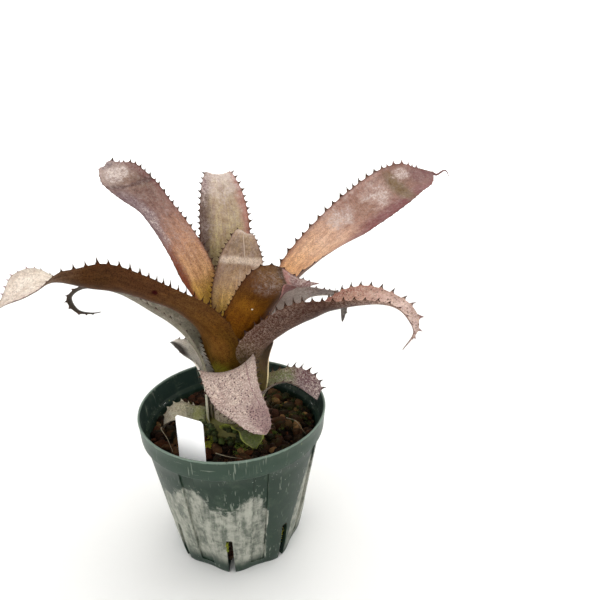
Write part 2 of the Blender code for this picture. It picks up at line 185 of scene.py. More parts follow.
def smoothstep(low, high, value):
    share = min(max((value - low) / (high - low), 0.0), 1.0)
    return share * share * (3.0 - 2.0 * share)


def polar(radius, angle, height):
    return Vector((radius * math.cos(angle), radius * math.sin(angle), height))


# Finishes


def operator(operation, swapped=False):
    """An arithmetic operator of readings, which adds a Math node."""
    def apply(self, other):
        values = (other, self) if swapped else (self, other)
        return self.finish.math(operation, *values)
    return apply


class Reading:
    """A number or colour read over a surface. Arithmetic on readings adds Math nodes."""

    __add__ = operator("ADD")
    __radd__ = operator("ADD", swapped=True)
    __sub__ = operator("SUBTRACT")
    __rsub__ = operator("SUBTRACT", swapped=True)
    __mul__ = operator("MULTIPLY")
    __rmul__ = operator("MULTIPLY", swapped=True)

    def __init__(self, finish, socket):
        self.finish = finish
        self.socket = socket

    def __abs__(self):
        return self.finish.math("ABSOLUTE", self)

    def clipped(self):
        return self.finish.node("ShaderNodeMath", {"operation": "ADD", "use_clamp": True},
                                {0: self, 1: 0.0})


class Finish:
    """A material under construction: nodes, readings and the colour laid so far. Colours are hex digits."""

    def __init__(self, name, constants=None):
        self.material = bpy.data.materials.new(name)
        self.material.use_nodes = True
        self.tree = self.material.node_tree
        self.shader = self.tree.nodes["Principled BSDF"]
        self.colour = None
        for socket, value in (constants or {}).items():
            self.shader.inputs[socket].default_value = value

    def node(self, kind, settings=None, sockets=None, output=0):
        """Adds a node: its settings first, with a ramp's stops, then its sockets' values or links."""
        node = self.tree.nodes.new(kind)
        for name, value in (settings or {}).items():
            if name == "stops":
                self.set_stops(node.color_ramp, value)
            else:
                setattr(node, name, value)
        for key, value in (sockets or {}).items():
            if isinstance(value, Reading):
                self.tree.links.new(value.socket, node.inputs[key])
            else:
                node.inputs[key].default_value = shade(value) if isinstance(value, str) else value
        return Reading(self, node.outputs[output])

    @staticmethod
    def set_stops(ramp, stops):
        while len(ramp.elements) < len(stops):
            ramp.elements.new(0.5)
        for element, (position, value) in zip(ramp.elements, stops):
            element.position = position
            element.color = shade(value) if isinstance(value, str) else (value, value, value, 1.0)

    def math(self, operation, *values):
        return self.node("ShaderNodeMath", {"operation": operation}, dict(enumerate(values)))

    def place(self):
        return self.node("ShaderNodeTexCoord", output=3)

    def stretched(self, scale, offset=(0.0, 0.0, 0.0)):
        """Object coordinates scaled by three factors."""
        return self.node("ShaderNodeMapping", sockets={"Vector": self.place(), "Scale": scale,
                                                       "Location": offset})

    def axes(self):
        parts = self.node("ShaderNodeSeparateXYZ", sockets={0: self.place()})
        outputs = parts.socket.node.outputs
        return tuple(Reading(self, outputs[index]) for index in range(3))

    def vector(self, x, y, z):
        return self.node("ShaderNodeCombineXYZ", sockets={0: x, 1: y, 2: z})

    def attribute(self, name):
        return self.node("ShaderNodeAttribute", {"attribute_name": name}, output=2)

    def cloud(self, scale, detail=2.0, roughness=0.5, vector=None):
        """Soft noise between 0 and 1."""
        return self.node("ShaderNodeTexNoise", sockets={
            "Vector": vector or self.place(), "Scale": scale, "Detail": detail,
            "Roughness": roughness})

    def cells(self, scale, vector=None, feature="F1"):
        return self.node("ShaderNodeTexVoronoi", {"feature": feature},
                         {"Vector": vector or self.place(), "Scale": scale})

    def ramp(self, reading, stops):
        return self.node("ShaderNodeValToRGB", {"stops": stops}, {0: reading})

    def step(self, low, high, reading):
        """0 below low, 1 above high and smooth between."""
        return self.node("ShaderNodeMapRange", {"interpolation_type": "SMOOTHSTEP"},
                         {"Value": reading, "From Min": low, "From Max": high})

    def mix(self, factor, first, second, blend="MIX"):
        return self.node("ShaderNodeMix", {"data_type": "RGBA", "blend_type": blend},
                         {0: factor, 6: first, 7: second}, 2)

    def paint(self, factor, colour, blend="MIX"):
        """Lays a colour over what has been laid so far."""
        self.colour = self.mix(factor, self.colour, colour, blend)

    def bump(self, height, distance, strength=1.0):
        return self.node("ShaderNodeBump", sockets={"Height": height, "Distance": distance * MM,
                                                    "Strength": strength})

    def done(self, roughness, normal=None):
        self.tree.links.new(self.colour.socket, self.shader.inputs["Base Color"])
        self.tree.links.new(roughness.socket, self.shader.inputs["Roughness"])
        if normal:
            self.tree.links.new(normal.socket, self.shader.inputs["Normal"])
        return self.material


# Making pieces


def add_object(name, bm):
    """A bmesh as an object in the scene."""
    mesh = bpy.data.meshes.new(name)
    bm.to_mesh(mesh)
    bm.free()
    item = bpy.data.objects.new(name, mesh)
    bpy.context.scene.collection.objects.link(item)
    return item


def finish_piece(name, bm, material, slot, *nodes, sharp=40.0):
    """Scales a bmesh to metres, makes it a piece on the object's one body and lets it stand for nodes."""
    bmesh.ops.scale(bm, vec=(MM, MM, MM), verts=bm.verts)
    piece = add_object(name, bm)
    piece.data.materials.append(material)
    piece.data.shade_smooth()
    piece.data.set_sharp_from_angle(angle=math.radians(sharp))
    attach(piece, "root")
    if nodes:
        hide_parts(*nodes)
    return piece


def soften_edges(piece, width, angle):
    bevel = piece.modifiers.new("soft_edges", "BEVEL")
    bevel.width = width * MM
    bevel.segments = 2
    bevel.limit_method = "ANGLE"
    bevel.angle_limit = math.radians(angle)


def turned(profile, sides):
    """A shell turned round Z from a profile of (radius, height), closed where it meets the axis."""
    bm = bmesh.new()
    verts = [bm.verts.new((radius, 0, height)) for radius, height in profile]
    edges = [bm.edges.new(pair) for pair in zip(verts, verts[1:])]
    bmesh.ops.spin(bm, geom=verts + edges, cent=(0, 0, 0), axis=(0, 0, 1), angle=math.tau,
                   steps=sides, use_merge=True)
    bmesh.ops.remove_doubles(bm, verts=bm.verts, dist=0.005)
    bmesh.ops.recalc_face_normals(bm, faces=bm.faces)
    return bm


def box(size, place):
    bm = bmesh.new()
    bmesh.ops.create_cube(bm, size=1.0, matrix=place @ Matrix.Diagonal((*size, 1.0)))
    return bm


def edges_along(bm, axis):
    """Edges whose ends lie more than 1 apart along an axis."""
    return [edge for edge in bm.edges if abs(edge.verts[0].co[axis] - edge.verts[1].co[axis]) > 1]


def append(bm, part):
    """Adds one small bmesh to a large one and frees it."""
    mesh = bpy.data.meshes.new("part")
    part.to_mesh(mesh)
    part.free()
    bm.from_mesh(mesh)
    bpy.data.meshes.remove(mesh)


def catmull(points, share):
    """A smooth curve through points, read at a share of its control steps."""
    steps = len(points) - 1
    at = min(max(share, 0.0), 0.999999) * steps
    index = int(at)
    t = at - index
    p1 = points[index]
    p2 = points[index + 1]
    p0 = points[index - 1] if index else p1 * 2 - p2
    p3 = points[index + 2] if index + 2 <= steps else p2 * 2 - p1
    return 0.5 * ((2 * p1) + (p2 - p0) * t + (2 * p0 - 5 * p1 + 4 * p2 - p3) * t * t
                  + (3 * p1 - p0 - 3 * p2 + p3) * t * t * t)


def add_thread(bm, controls, radius, values):
    """A thin round thread along a curve, which narrows to its end, with one value for each float layer."""
    thread = bmesh.new()
    layers = {key: thread.verts.layers.float.new(key) for key in values}
    points = [catmull(controls, index / THREAD_STEPS) for index in range(THREAD_STEPS + 1)]
    bmesh.ops.create_cone(thread, cap_ends=False, segments=THREAD_SIDES, radius1=1.0, radius2=1.0, depth=2.0)
    bmesh.ops.subdivide_edges(thread, edges=edges_along(thread, 2), cuts=THREAD_STEPS - 1)
    bmesh.ops.holes_fill(thread, edges=[edge for edge in thread.edges if edge.is_boundary], sides=0)
    for vert in thread.verts:
        index = round((vert.co.z + 1.0) / 2.0 * THREAD_STEPS)
        low = points[max(index - 1, 0)]
        along = (points[min(index + 1, THREAD_STEPS)] - low).normalized()
        first = along.orthogonal().normalized()
        reach = radius * (1.0 - 0.8 * index / THREAD_STEPS)
        vert.co = points[index] + (first * vert.co.x + along.cross(first) * vert.co.y) * reach
        for key, value in values.items():
            vert[layers[key]] = value
    append(bm, thread)


def cut(bm, cutters):
    """The bmesh less every cutter, as a new bmesh; the helpers are removed."""
    body = add_object("body_to_cut", bm)
    group = bpy.data.collections.new("cutters")
    bpy.context.scene.collection.children.link(group)
    for index, cutter in enumerate(cutters):
        item = add_object(f"cutter_{index}", cutter)
        bpy.context.scene.collection.objects.unlink(item)
        group.objects.link(item)
    modifier = body.modifiers.new("cut", "BOOLEAN")
    modifier.operation = "DIFFERENCE"
    modifier.operand_type = "COLLECTION"
    modifier.collection = group
    modifier.solver = "EXACT"
    graph = bpy.context.evaluated_depsgraph_get()
    mesh = bpy.data.meshes.new_from_object(body.evaluated_get(graph))
    result = bmesh.new()
    result.from_mesh(mesh)
    for item in [body, *group.objects]:
        bpy.data.objects.remove(item, do_unlink=True)
    bpy.data.collections.remove(group)
    return result


# Pot


def outer_wall_radius(height):
    """Outer radius of the body below the collar, from the foot to the step."""
    top_radius = RIM_RADIUS - COLLAR_STEP
    knee_radius = FOOT_RADIUS + KNEE_FLARE
    if height < KNEE_HEIGHT:
        return FOOT_RADIUS + KNEE_FLARE * height / KNEE_HEIGHT
    share = (height - KNEE_HEIGHT) / (POT_HEIGHT - COLLAR_HEIGHT - KNEE_HEIGHT)
    return knee_radius + (top_radius - knee_radius) * share


def lobe_offset(angle, height):
    """How far the wall swells outwards at the slots and draws in between them, near the foot."""
    share = 1.0 - smoothstep(0.0, LOBE_HEIGHT, height)
    return LOBE_DEPTH * share * math.cos(LOBES * angle)


def pot_profile():
    step = POT_HEIGHT - COLLAR_HEIGHT
    step_radius = outer_wall_radius(step)
    rim_inner = RIM_RADIUS - RIM_THICKNESS
    collar_inner = rim_inner - RIM_THICKNESS
    floor_radius = FOOT_RADIUS - WALL
    floor_edge = FLOOR_TOP - FLOOR_EDGE_DROP
    foot_inner = FOOT_RADIUS - FOOT_WIDTH
    inside = [(outer_wall_radius(height) - WALL, height) for height in (KNEE_HEIGHT, 30, 45, 60)]
    outside = [(outer_wall_radius(height), height)
               for height in (68, 60, 52, 44, 36, 30, 24, KNEE_HEIGHT, 11, 6, 2.5)]
    return (
        (0, FLOOR_TOP),
        (FLOOR_EDGE_RADIUS, FLOOR_TOP),
        (floor_radius - 0.6, floor_edge),
        (floor_radius + 0.3, floor_edge + 1.2),
        *inside,
        (step_radius - WALL, step - 2.6),
        (step_radius - WALL + 0.15, step - 1.8),
        (collar_inner - 0.25, step - 0.2),
        (collar_inner, step + 0.6),
        (rim_inner - 0.25, POT_HEIGHT - 2.2),
        (rim_inner + 0.1, POT_HEIGHT - 0.7),
        (rim_inner + 0.35, POT_HEIGHT - 0.15),
        (rim_inner + 0.7, POT_HEIGHT),
        (RIM_RADIUS - 0.35, POT_HEIGHT - 0.05),
        (RIM_RADIUS - 0.08, POT_HEIGHT - 0.3),
        (RIM_RADIUS, POT_HEIGHT - 0.75),
        (RIM_RADIUS - 0.1, POT_HEIGHT - 1.5),
        (RIM_RADIUS - 0.25, POT_HEIGHT - 1.9),
        (RIM_RADIUS - 0.55, POT_HEIGHT - 6),
        (RIM_RADIUS - 0.85, step + 1.0),
        (RIM_RADIUS - 0.98, step + 0.45),
        (RIM_RADIUS - 1.3, step + 0.1),
        (step_radius + 0.35, step - 0.25),
        (step_radius - 0.05, step - 0.7),
        *outside,
        (FOOT_RADIUS + 0.1, 0.7),
        (FOOT_RADIUS - 0.25, 0.15),
        (FOOT_RADIUS - 0.7, 0),
        (foot_inner, 0),
        (foot_inner - 1.2, FLOOR_RECESS),
        (BOSS_RADIUS + 1, FLOOR_RECESS),
        (BOSS_RADIUS, 0),
        (0, 0),
    )


def strip_cutters():
    """Long boxes that sink the eight strips into the wall, midway between the slots."""
    strip_top = POT_HEIGHT - COLLAR_HEIGHT - STRIP_MARGIN
    top_radius = outer_wall_radius(strip_top)
    rise = strip_top - STRIP_BOTTOM
    slope = math.atan2(top_radius - STRIP_FOOT_RADIUS, rise)
    middle = Vector(((STRIP_FOOT_RADIUS + top_radius) / 2, 0, (STRIP_BOTTOM + strip_top) / 2))
    size = (CUTTER_REACH, STRIP_WIDTH, rise / math.cos(slope))
    place = (Matrix.Translation(middle) @ Matrix.Rotation(slope, 4, "Y")
             @ Matrix.Translation((CUTTER_REACH / 2 - STRIP_DEPTH, 0, 0)))
    for index in range(LOBES):
        yield box(size, Matrix.Rotation(math.tau * (index + 0.5) / LOBES, 4, "Z") @ place)


def slot_cutters():
    """Drain slots with slightly rounded tops, through the wall and the edge of the floor."""
    size = (SLOT_OUTER_END - SLOT_INNER_END, SLOT_WIDTH, SLOT_HEIGHT + 2)
    place = Matrix.Translation(((SLOT_INNER_END + SLOT_OUTER_END) / 2, 0, SLOT_HEIGHT / 2 - 1))
    for index in range(LOBES):
        bm = box(size, place)
        top = [edge for edge in edges_along(bm, 0) if edge.verts[0].co.z > SLOT_HEIGHT - 1]
        bmesh.ops.bevel(bm, geom=top, offset=SLOT_ROUNDING, affect="EDGES", segments=3, profile=0.5,
                        material=-1)
        bmesh.ops.rotate(bm, verts=bm.verts, matrix=Matrix.Rotation(math.tau * index / LOBES, 3, "Z"))
        yield bm


def rim_nick():
    """A small chip in the rim, at the front."""
    bm = bmesh.new()
    place = Matrix.Translation(NICK_PLACE) @ Matrix.Diagonal(NICK_SIZE)
    bmesh.ops.create_icosphere(bm, subdivisions=2, radius=1.0, matrix=place)
    return bm


def make_pot():
    bm = turned(pot_profile(), POT_SIDES)
    for vert in bm.verts:
        radius = math.hypot(vert.co.x, vert.co.y)
        if radius > FOOT_RADIUS - FOOT_WIDTH - 0.6:
            angle = math.atan2(vert.co.y, vert.co.x)
            scale = 1.0 + lobe_offset(angle, vert.co.z) / radius
            vert.co.x *= scale
            vert.co.y *= scale
    bm = cut(bm, [*strip_cutters(), *slot_cutters(), rim_nick()])
    piece = finish_piece("pot_shell", bm, pot_finish(), "pot", "pot", sharp=35.0)
    soften_edges(piece, EDGE_BEVEL, 40)


# Stops of (azimuth as a share of the turn from -180 degrees, top of the lime as a share of LIME_SPAN)
LIME_TOPS = (
    (0.0, 0.5), (0.1, 0.66), (0.135, 0.69), (0.17, 0.79), (0.205, 0.82), (0.222, 0.68), (0.25, 0.65),
    (0.285, 0.73), (0.308, 0.72), (0.325, 0.56), (0.338, 0.0), (0.39, 0.0), (0.4, 0.5), (0.425, 0.74),
    (0.45, 0.82), (0.47, 0.6), (0.485, 0.2), (0.5, 0.0), (0.52, 0.0), (0.6, 0.5), (0.72, 0.75),
    (0.8, 0.35), (0.88, 0.7), (1.0, 0.5))


def outer_reading(f, z):
    """Radius of the pot's outer face at a height, for telling its inside from its outside."""
    widening = RIM_RADIUS - COLLAR_STEP - FOOT_RADIUS - KNEE_FLARE
    slope = widening / (POT_HEIGHT - COLLAR_HEIGHT - KNEE_HEIGHT)
    wall = (FOOT_RADIUS + KNEE_FLARE) * MM + (z - KNEE_HEIGHT * MM) * slope
    return wall + f.step(0.0752, 0.0764, z) * 0.0014


def lobe_reading(f, turn, z):
    """How far the lobes move the wall at a turn and height."""
    share = 1.0 - f.step(0.0, LOBE_HEIGHT * MM, z)
    return f.math("COSINE", turn * (math.tau * LOBES)) * share * (LOBE_DEPTH * MM)


def pot_finish():
    """Dark green plastic, paler on the collar, rim worn and painted with a highlight, scratched, with lime
    left by water.
    """
    f = Finish("green_plastic", {"Specular IOR Level": 0.2})
    x, y, z = f.axes()
    radius = f.math("SQRT", x * x + y * y)
    turn = f.math("ARCTAN2", y, x) * (1 / math.tau) + 0.5
    broad = f.cloud(38.0, 3.0)
    fine = f.cloud(420.0, 3.0, 0.65)
    collar = f.step(0.0756, 0.0768, z)
    sunk = outer_reading(f, z) + lobe_reading(f, turn, z) - radius
    wall = 0.00172 - f.step(0.07, 0.0745, z) * 0.0005
    inside = f.step(0.0, 0.0001, sunk - wall)
    outside = 1.0 - inside
    dust = f.step(0.5, 0.72, f.cloud(150.0, 4.0, 0.7))
    f.colour = f.mix(broad, "17281e", "203226")
    f.paint(collar * 0.6, "35463b")
    f.paint(inside * 0.85, "1a2c28")
    f.paint(dust * 0.16, "707c6a")

    tops = f.ramp(turn + (broad - 0.5) * 0.035, LIME_TOPS)
    ragged = (fine - 0.5) * 0.011 + (f.cloud(160.0, 2.0) - 0.5) * 0.016
    under_top = tops * (LIME_SPAN * MM) - z + ragged
    above_foot = f.step(0.004, 0.016, z + (broad - 0.5) * 0.02)
    streaks = f.cloud(1.0, 3.0, 0.6, f.stretched((260.0, 260.0, 26.0)))
    patchy = f.step(0.36, 0.6, f.cloud(210.0, 4.0, 0.7) * 0.5 + streaks * 0.5)
    worn_off = f.step(0.58, 0.7, f.cloud(1.0, 3.0, 0.65, f.stretched((420.0, 420.0, 90.0))))
    cover = (0.2 + 0.8 * patchy) * (1.0 - 0.6 * worn_off) * outside * (1.0 - collar)
    lime = f.step(-0.0022, 0.0045, under_top) * above_foot * cover
    tide = f.step(0.0, 0.0012, under_top) * (1.0 - f.step(0.0012, 0.0045, under_top))
    f.paint(lime * 0.76, "b0b0a4")
    f.paint(lime * tide * above_foot * 0.12, "d4d4c8")

    worn = f.cloud(60.0, 2.0, vector=f.stretched((1.0, 1.0, 1.0), (0.3, 0.1, 0.2)))
    upright = f.cloud(1.0, 1.0, 0.5, f.stretched((900.0, 900.0, 40.0)))
    scratches = f.step(0.64, 0.69, upright) * f.step(0.42, 0.56, worn)
    level = f.cloud(1.0, 1.0, 0.5, f.stretched((70.0, 70.0, 1300.0)))
    scuffs = f.step(0.7, 0.725, level) * f.step(0.5, 0.6, f.cloud(45.0, 2.0)) * collar
    specks = 1.0 - f.step(0.04, 0.09, f.cells(330.0) + (f.cloud(25.0, 2.0) - 0.5) * 0.25)
    chips = (1.0 - f.step(0.03, 0.075, f.cells(95.0))) * f.step(0.5, 0.6, fine)
    # The paler band along the rim's top is partly wear and partly a painted highlight.
    rim = f.step(0.0868, 0.0877, z + (fine - 0.5) * 0.0011)
    foot_dirt = 1.0 - f.step(0.001, 0.009, z + (broad - 0.5) * 0.008)
    f.paint((scratches * 0.3 + scuffs * 0.4).clipped(), "a9b0a0")
    f.paint(specks * 0.5, "c2c9bb")
    f.paint(chips * 0.6 * outside, "7d8c4a")
    f.paint(rim * 0.5, "8e9f92")
    f.paint(foot_dirt * 0.35, "23352c")

    roughness = 0.36 + 0.3 * lime + 0.12 * dust + 0.08 * fine + 0.15 * inside
    grain = f.cloud(1500.0, 2.0, 0.6)
    height = lime * patchy * 0.6 + grain * 0.12 - scratches * 0.4 - scuffs * 0.4 + broad * 0.5
    return f.done(roughness, f.bump(height, 0.12, 0.8))


# Soil, moss and stem


def soil_height(radius):
    share = smoothstep(STEM_RADIUS, RIM_RADIUS - 6.0, radius)
    return SOIL_AT_STEM + (SOIL_AT_WALL - SOIL_AT_STEM) * share


def soil_radius(height):
    return outer_wall_radius(height) - WALL - lobe_offset(0.0, height) - SOIL_GAP


def label_frame(height):
    return (Matrix.Translation((*LABEL_CENTRE, height))
            @ Matrix.Rotation(math.radians(LABEL_TURN), 4, "Z"))


def near_label(point, margin):
    local = label_frame(0).inverted() @ Vector((point[0], point[1], 0))
    return abs(local.x) < LABEL_WIDTH / 2 + margin and abs(local.y) < margin


def add_granule(bm, tone, place, size, draw):
    """One lump of baked clay or bark, knobbly and turned at random, with its own tone."""
    lump = bmesh.new()
    layer = lump.verts.layers.float.new("tone")
    bmesh.ops.create_icosphere(lump, subdivisions=2, radius=1.0)
    seed = Vector((draw.uniform(0, 99), draw.uniform(0, 99), draw.uniform(0, 99)))
    stretch = Vector((draw.uniform(0.8, 1.5), draw.uniform(0.6, 1.1), draw.uniform(0.5, 0.95)))
    turn = Matrix.Rotation(draw.uniform(0, math.tau), 3, "Z")
    turn = turn @ Matrix.Rotation(draw.uniform(-0.9, 0.9), 3, "X")
    for vert in lump.verts:
        knob = 1.0 + 0.3 * noise.noise(vert.co * 1.3 + seed) + 0.12 * noise.noise(vert.co * 3.1 + seed)
        vert.co = place + turn @ (vert.co * stretch) * size * knob
        vert[layer] = tone
    append(bm, lump)


def make_soil():
    """A bed of soil with the stem's hole, covered with granules, some of which show in the slots."""
    top = [(radius, soil_height(radius) - SOIL_CRUST) for radius in (STEM_HOLE, 25, 32, 39)]
    side = [(soil_radius(height), height) for height in (58, 45, 30, KNEE_HEIGHT)]
    bed = FLOOR_TOP + SOIL_GAP
    bm = turned((
        (0, HOLE_BOTTOM),
        (STEM_HOLE, HOLE_BOTTOM),
        *top,
        (soil_radius(SOIL_AT_WALL) - 0.2, SOIL_AT_WALL - SOIL_CRUST),
        *side,
        (soil_radius(FLOOR_TOP) - 1.5, bed),
        (0, bed),
    ), SOIL_SIDES)
    layer = bm.verts.layers.float.new("tone")
    for vert in bm.verts:
        vert[layer] = BED_TONE
    draw = random.Random(GRANULE_SEED)
    for index in range(GRANULES):
        radius = SOIL_REACH * math.sqrt((index + 0.5) / GRANULES) + draw.uniform(-0.8, 0.8)
        angle = GOLDEN_ANGLE * index + draw.uniform(-0.03, 0.03)
        size = draw.choice(GRANULE_SIZES) * draw.uniform(0.9, 1.15)
        tone = draw.random()
        radius = min(radius, soil_radius(SOIL_AT_WALL) - size * 0.95)
        if radius < STEM_RADIUS + 0.6 + size:
            continue
        place = polar(radius, angle, soil_height(radius) - 0.9 + draw.uniform(-0.2, 1.0))
        if not near_label(place, 0.7 + size):
            add_granule(bm, tone, place, size, draw)
    for index in range(SLOT_GRANULES):
        angle = math.tau * (index % LOBES) / LOBES + draw.uniform(-0.05, 0.05)
        height = draw.uniform(8, SLOT_HEIGHT)
        size = draw.uniform(1.2, 2.4)
        place = polar(soil_radius(height) - size * 0.25, angle, height)
        add_granule(bm, draw.random(), place, size, draw)
    finish_piece("soil_granules", bm, soil_finish(), "soil", "soil", sharp=60.0)


def soil_finish():
    """Baked clay in brown, rust and tan, bark, and green algae in the damp places, with painted shade lower
    down.
    """
    f = Finish("granular_soil", {"Specular IOR Level": 0.1})
    x, _, z = f.axes()
    coarse = f.cloud(260.0, 3.0, 0.6)
    fine = f.cloud(1400.0, 3.0, 0.7)
    damp = f.step(0.52, 0.66, f.cloud(85.0, 3.0, 0.6) + f.step(0.01, 0.04, x) * 0.1)
    depth = f.step(0.0695, 0.0735, z)
    f.colour = f.ramp(f.attribute("tone"), (
        (0.0, "0e0906"), (0.3, "160e08"), (0.45, "28160c"), (0.56, "3e2012"), (0.66, "58301c"),
        (0.74, "1c140c"), (0.86, "5c4028"), (0.95, "9c7448"), (1.0, "241a12")))
    f.paint(f.step(0.42, 0.62, coarse) * 0.45, "2a1a12")
    f.paint(f.step(0.55, 0.7, fine) * 0.4, "8a6040")
    f.paint(damp * f.step(0.4, 0.55, fine) * 0.75, "2a2e12")
    # Soil below the surface, as in the slots, is darkened with painted shade.
    f.paint((1.0 - depth) * 0.55, "120c08")
    return f.done(0.78 - 0.2 * damp + 0.12 * fine, f.bump(fine + coarse * 0.8, 0.28, 0.9))


def add_moss_tuft(bm, place, reach, draw, tone):
    """A tuft of short pointed moss leaves that spread from one point."""
    tuft = bmesh.new()
    layer = tuft.verts.layers.float.new("tone")
    for _ in range(draw.randint(9, 15)):
        lean = draw.uniform(0.1, 1.2)
        angle = draw.uniform(0, math.tau)
        length = reach * draw.uniform(0.7, 1.2)
        turn = Matrix.Rotation(angle, 4, "Z") @ Matrix.Rotation(lean, 4, "Y")
        stand = Matrix.Translation(place) @ turn @ Matrix.Translation((0, 0, length / 2))
        made = bmesh.ops.create_cone(tuft, cap_ends=True, segments=5, radius1=reach * 0.16,
                                     radius2=0.02, depth=length,
                                     matrix=stand @ Matrix.Diagonal((1.0, 0.6, 1.0, 1.0)))["verts"]
        for vert in made:
            vert[layer] = tone + draw.uniform(-0.08, 0.08)
    append(bm, tuft)


# Patches of moss: centre, spread, number of tufts, tone from yellow green at 0 to brown green at 1
MOSS_PATCHES = (
    ((-13.5, -23.0, 75.0), 3.5, 16, 0.0),
    ((-12.0, -17.0, 75.5), 4.0, 18, 0.15),
    ((6.0, -22.0, 75.0), 5.0, 26, 0.3),
    ((14.0, -20.0, 75.0), 5.0, 16, 0.2),
    ((6.0, -29.0, 74.6), 5.0, 10, 0.45),
    ((24.0, -8.0, 74.3), 6.0, 12, 0.45),
    ((38.0, 4.0, 72.6), 8.0, 26, 0.7),
    ((34.0, 22.0, 72.8), 10.0, 34, 0.85),
    ((22.0, 30.0, 73.2), 7.0, 18, 0.8),
    ((-24.0, -14.0, 74.4), 5.0, 8, 0.35),
    ((-34.0, 16.0, 72.8), 6.0, 8, 0.55),
    ((-12.0, 32.0, 73.4), 7.0, 14, 0.5),
)

# Moss in three drain slots: lobe, lean in radians, depth behind the wall's face and spacing of the tufts
SLOT_MOSS = ((6, -0.035, 0.2, 0.8), (7, 0.0, 1.6, 1.9), (5, 0.02, 1.6, 1.9))

# Dry fibres that lie on the soil, each as points in space
FIBRES = (
    ((-39, -10, 78), (-38, -15, 80), (-33, -22, 79), (-29, -28, 75)),
    ((30, 2, 76), (36, -4, 77.5), (41, -12, 75)),
    ((-6, -30, 76), (1, -34, 77), (8, -33, 75)),
)


def make_moss():
    """Lumps at the stem's foot, dry fibres, patches of moss on the soil, and moss in the slots."""
    bm = bmesh.new()
    bm.verts.layers.float.new("tone")
    draw = random.Random(MOSS_SEED)
    for _ in range(LUMPS):
        angle = math.radians(draw.uniform(*LUMP_ARC))
        height = draw.uniform(*LUMP_HEIGHTS)
        radius = STEM_RADIUS + 0.5 * (84.0 - height) + draw.uniform(-0.4, 0.6)
        place = polar(radius, angle, height)
        add_granule(bm, draw.uniform(0.55, 1.0), place, draw.uniform(1.2, 2.2), draw)
    for fibre in FIBRES:
        add_thread(bm, [Vector(point) for point in fibre], FIBRE_RADIUS, {"tone": FIBRE_TONE})
    for centre, spread, count, tone in MOSS_PATCHES:
        for _ in range(count):
            angle = draw.uniform(0, math.tau)
            place = Vector(centre) + polar(spread * math.sqrt(draw.random()), angle, 0)
            radius = math.hypot(place.x, place.y)
            if radius > SOIL_REACH - 2 or radius < STEM_RADIUS + 1 or near_label(place, 2.0):
                continue
            place.z = soil_height(radius) + draw.uniform(-0.3, 0.8)
            add_moss_tuft(bm, place, draw.uniform(1.3, 2.4), draw, tone + draw.uniform(-0.1, 0.1))
    for lobe, lean, depth, spacing in SLOT_MOSS:
        angle = math.tau * lobe / LOBES + lean
        for index in range(SLOT_TUFTS):
            height = SLOT_HEIGHT - 3 - index * spacing
            place = polar(outer_wall_radius(height) - depth, angle, height)
            add_moss_tuft(bm, place, draw.uniform(1.3, 2.1), draw, 0.05 + draw.uniform(-0.1, 0.2))
    finish_piece("moss", bm, moss_finish(), "soil", sharp=80.0)


def moss_finish():
    f = Finish("moss", {"Specular IOR Level": 0.3, "Subsurface Weight": 0.08})
    tone = f.attribute("tone")
    fine = f.cloud(900.0, 2.0)
    f.colour = f.ramp(tone, ((0.0, "a8a82c"), (0.3, "66782a"), (0.6, "3a4618"), (1.0, "262a10")))
    f.paint(f.step(0.45, 0.65, fine) * 0.4, "26300f")
    f.paint(f.step(1.2, FIBRE_TONE, tone), "a89c84")
    return f.done(0.7 + 0.15 * fine, f.bump(fine, 0.1))


def dress_stem():
    """The stock keeps its solid and gets a fibrous olive finish."""
    f = Finish("stem_fibres")
    fibres = f.cloud(1.0, 3.0, 0.6, f.stretched((700.0, 700.0, 60.0)))
    f.colour = f.mix(fibres, "4c4a1e", "7a7638")
    materials = frame["nodes"]["stem"].data.materials
    materials.clear()
    materials.append(f.done(0.6 + 0.2 * fibres, f.bump(fibres, 0.2)))


# Label


def make_label():
    """A thin tag with rounded top corners and a pointed foot."""
    bm = box((LABEL_WIDTH, LABEL_THICKNESS, LABEL_LENGTH), Matrix.Translation((0, 0, -LABEL_LENGTH / 2)))
    bmesh.ops.subdivide_edges(bm, edges=edges_along(bm, 2), cuts=24, use_grid_fill=True)
    bmesh.ops.subdivide_edges(bm, edges=edges_along(bm, 0), cuts=15, use_grid_fill=True)
    for vert in bm.verts:
        depth = -vert.co.z
        foot = max(depth - (LABEL_LENGTH - LABEL_POINT), 0.0) / LABEL_POINT
        vert.co.x *= 1.0 - LABEL_TAPER * foot
        side = vert.co.x / (LABEL_WIDTH / 2)
        corner = max(abs(side) - 0.8, 0.0) / 0.2
        drop = 1.0 - math.sqrt(max(1.0 - corner * corner, 0.0))
        rounding = LABEL_CORNERS[0] if side < 0 else LABEL_CORNERS[1]
        vert.co.z -= rounding * drop * max(1.0 - depth / 4.0, 0.0)
    bmesh.ops.transform(bm, matrix=label_frame(LABEL_TOP), verts=bm.verts)
    piece = finish_piece("label_tag", bm, label_finish(), "label", "label", sharp=50.0)
    soften_edges(piece, LABEL_BEVEL, 50)


def label_finish():
    """Bare white plastic, faintly soiled near the ground, with a faint painted glow."""
    # The white emission is a painted glow that brightens the label as light would.
    f = Finish("white_plastic", {"Specular IOR Level": 0.3, "Subsurface Weight": 0.5,
                                 "Subsurface Radius": (1.0, 1.0, 1.0), "Subsurface Scale": 0.002,
                                 "Emission Color": (1.0, 1.0, 1.0, 1.0), "Emission Strength": 0.22})
    _, _, z = f.axes()
    fine = f.cloud(700.0, 3.0, 0.6)
    smudge = f.step(0.5, 0.7, f.cloud(120.0, 3.0))
    soil_line = 1.0 - f.step(0.071, 0.081, z + (f.cloud(200.0, 3.0) - 0.5) * 0.01)
    f.colour = f.mix(smudge * 0.12, "fcfcfe", "e4e6ea")
    f.paint(soil_line * 0.5 * f.step(0.4, 0.6, fine), "7a604a")
    return f.done(0.4 + 0.12 * fine, f.bump(fine, 0.04, 0.5))


# Leaf blades


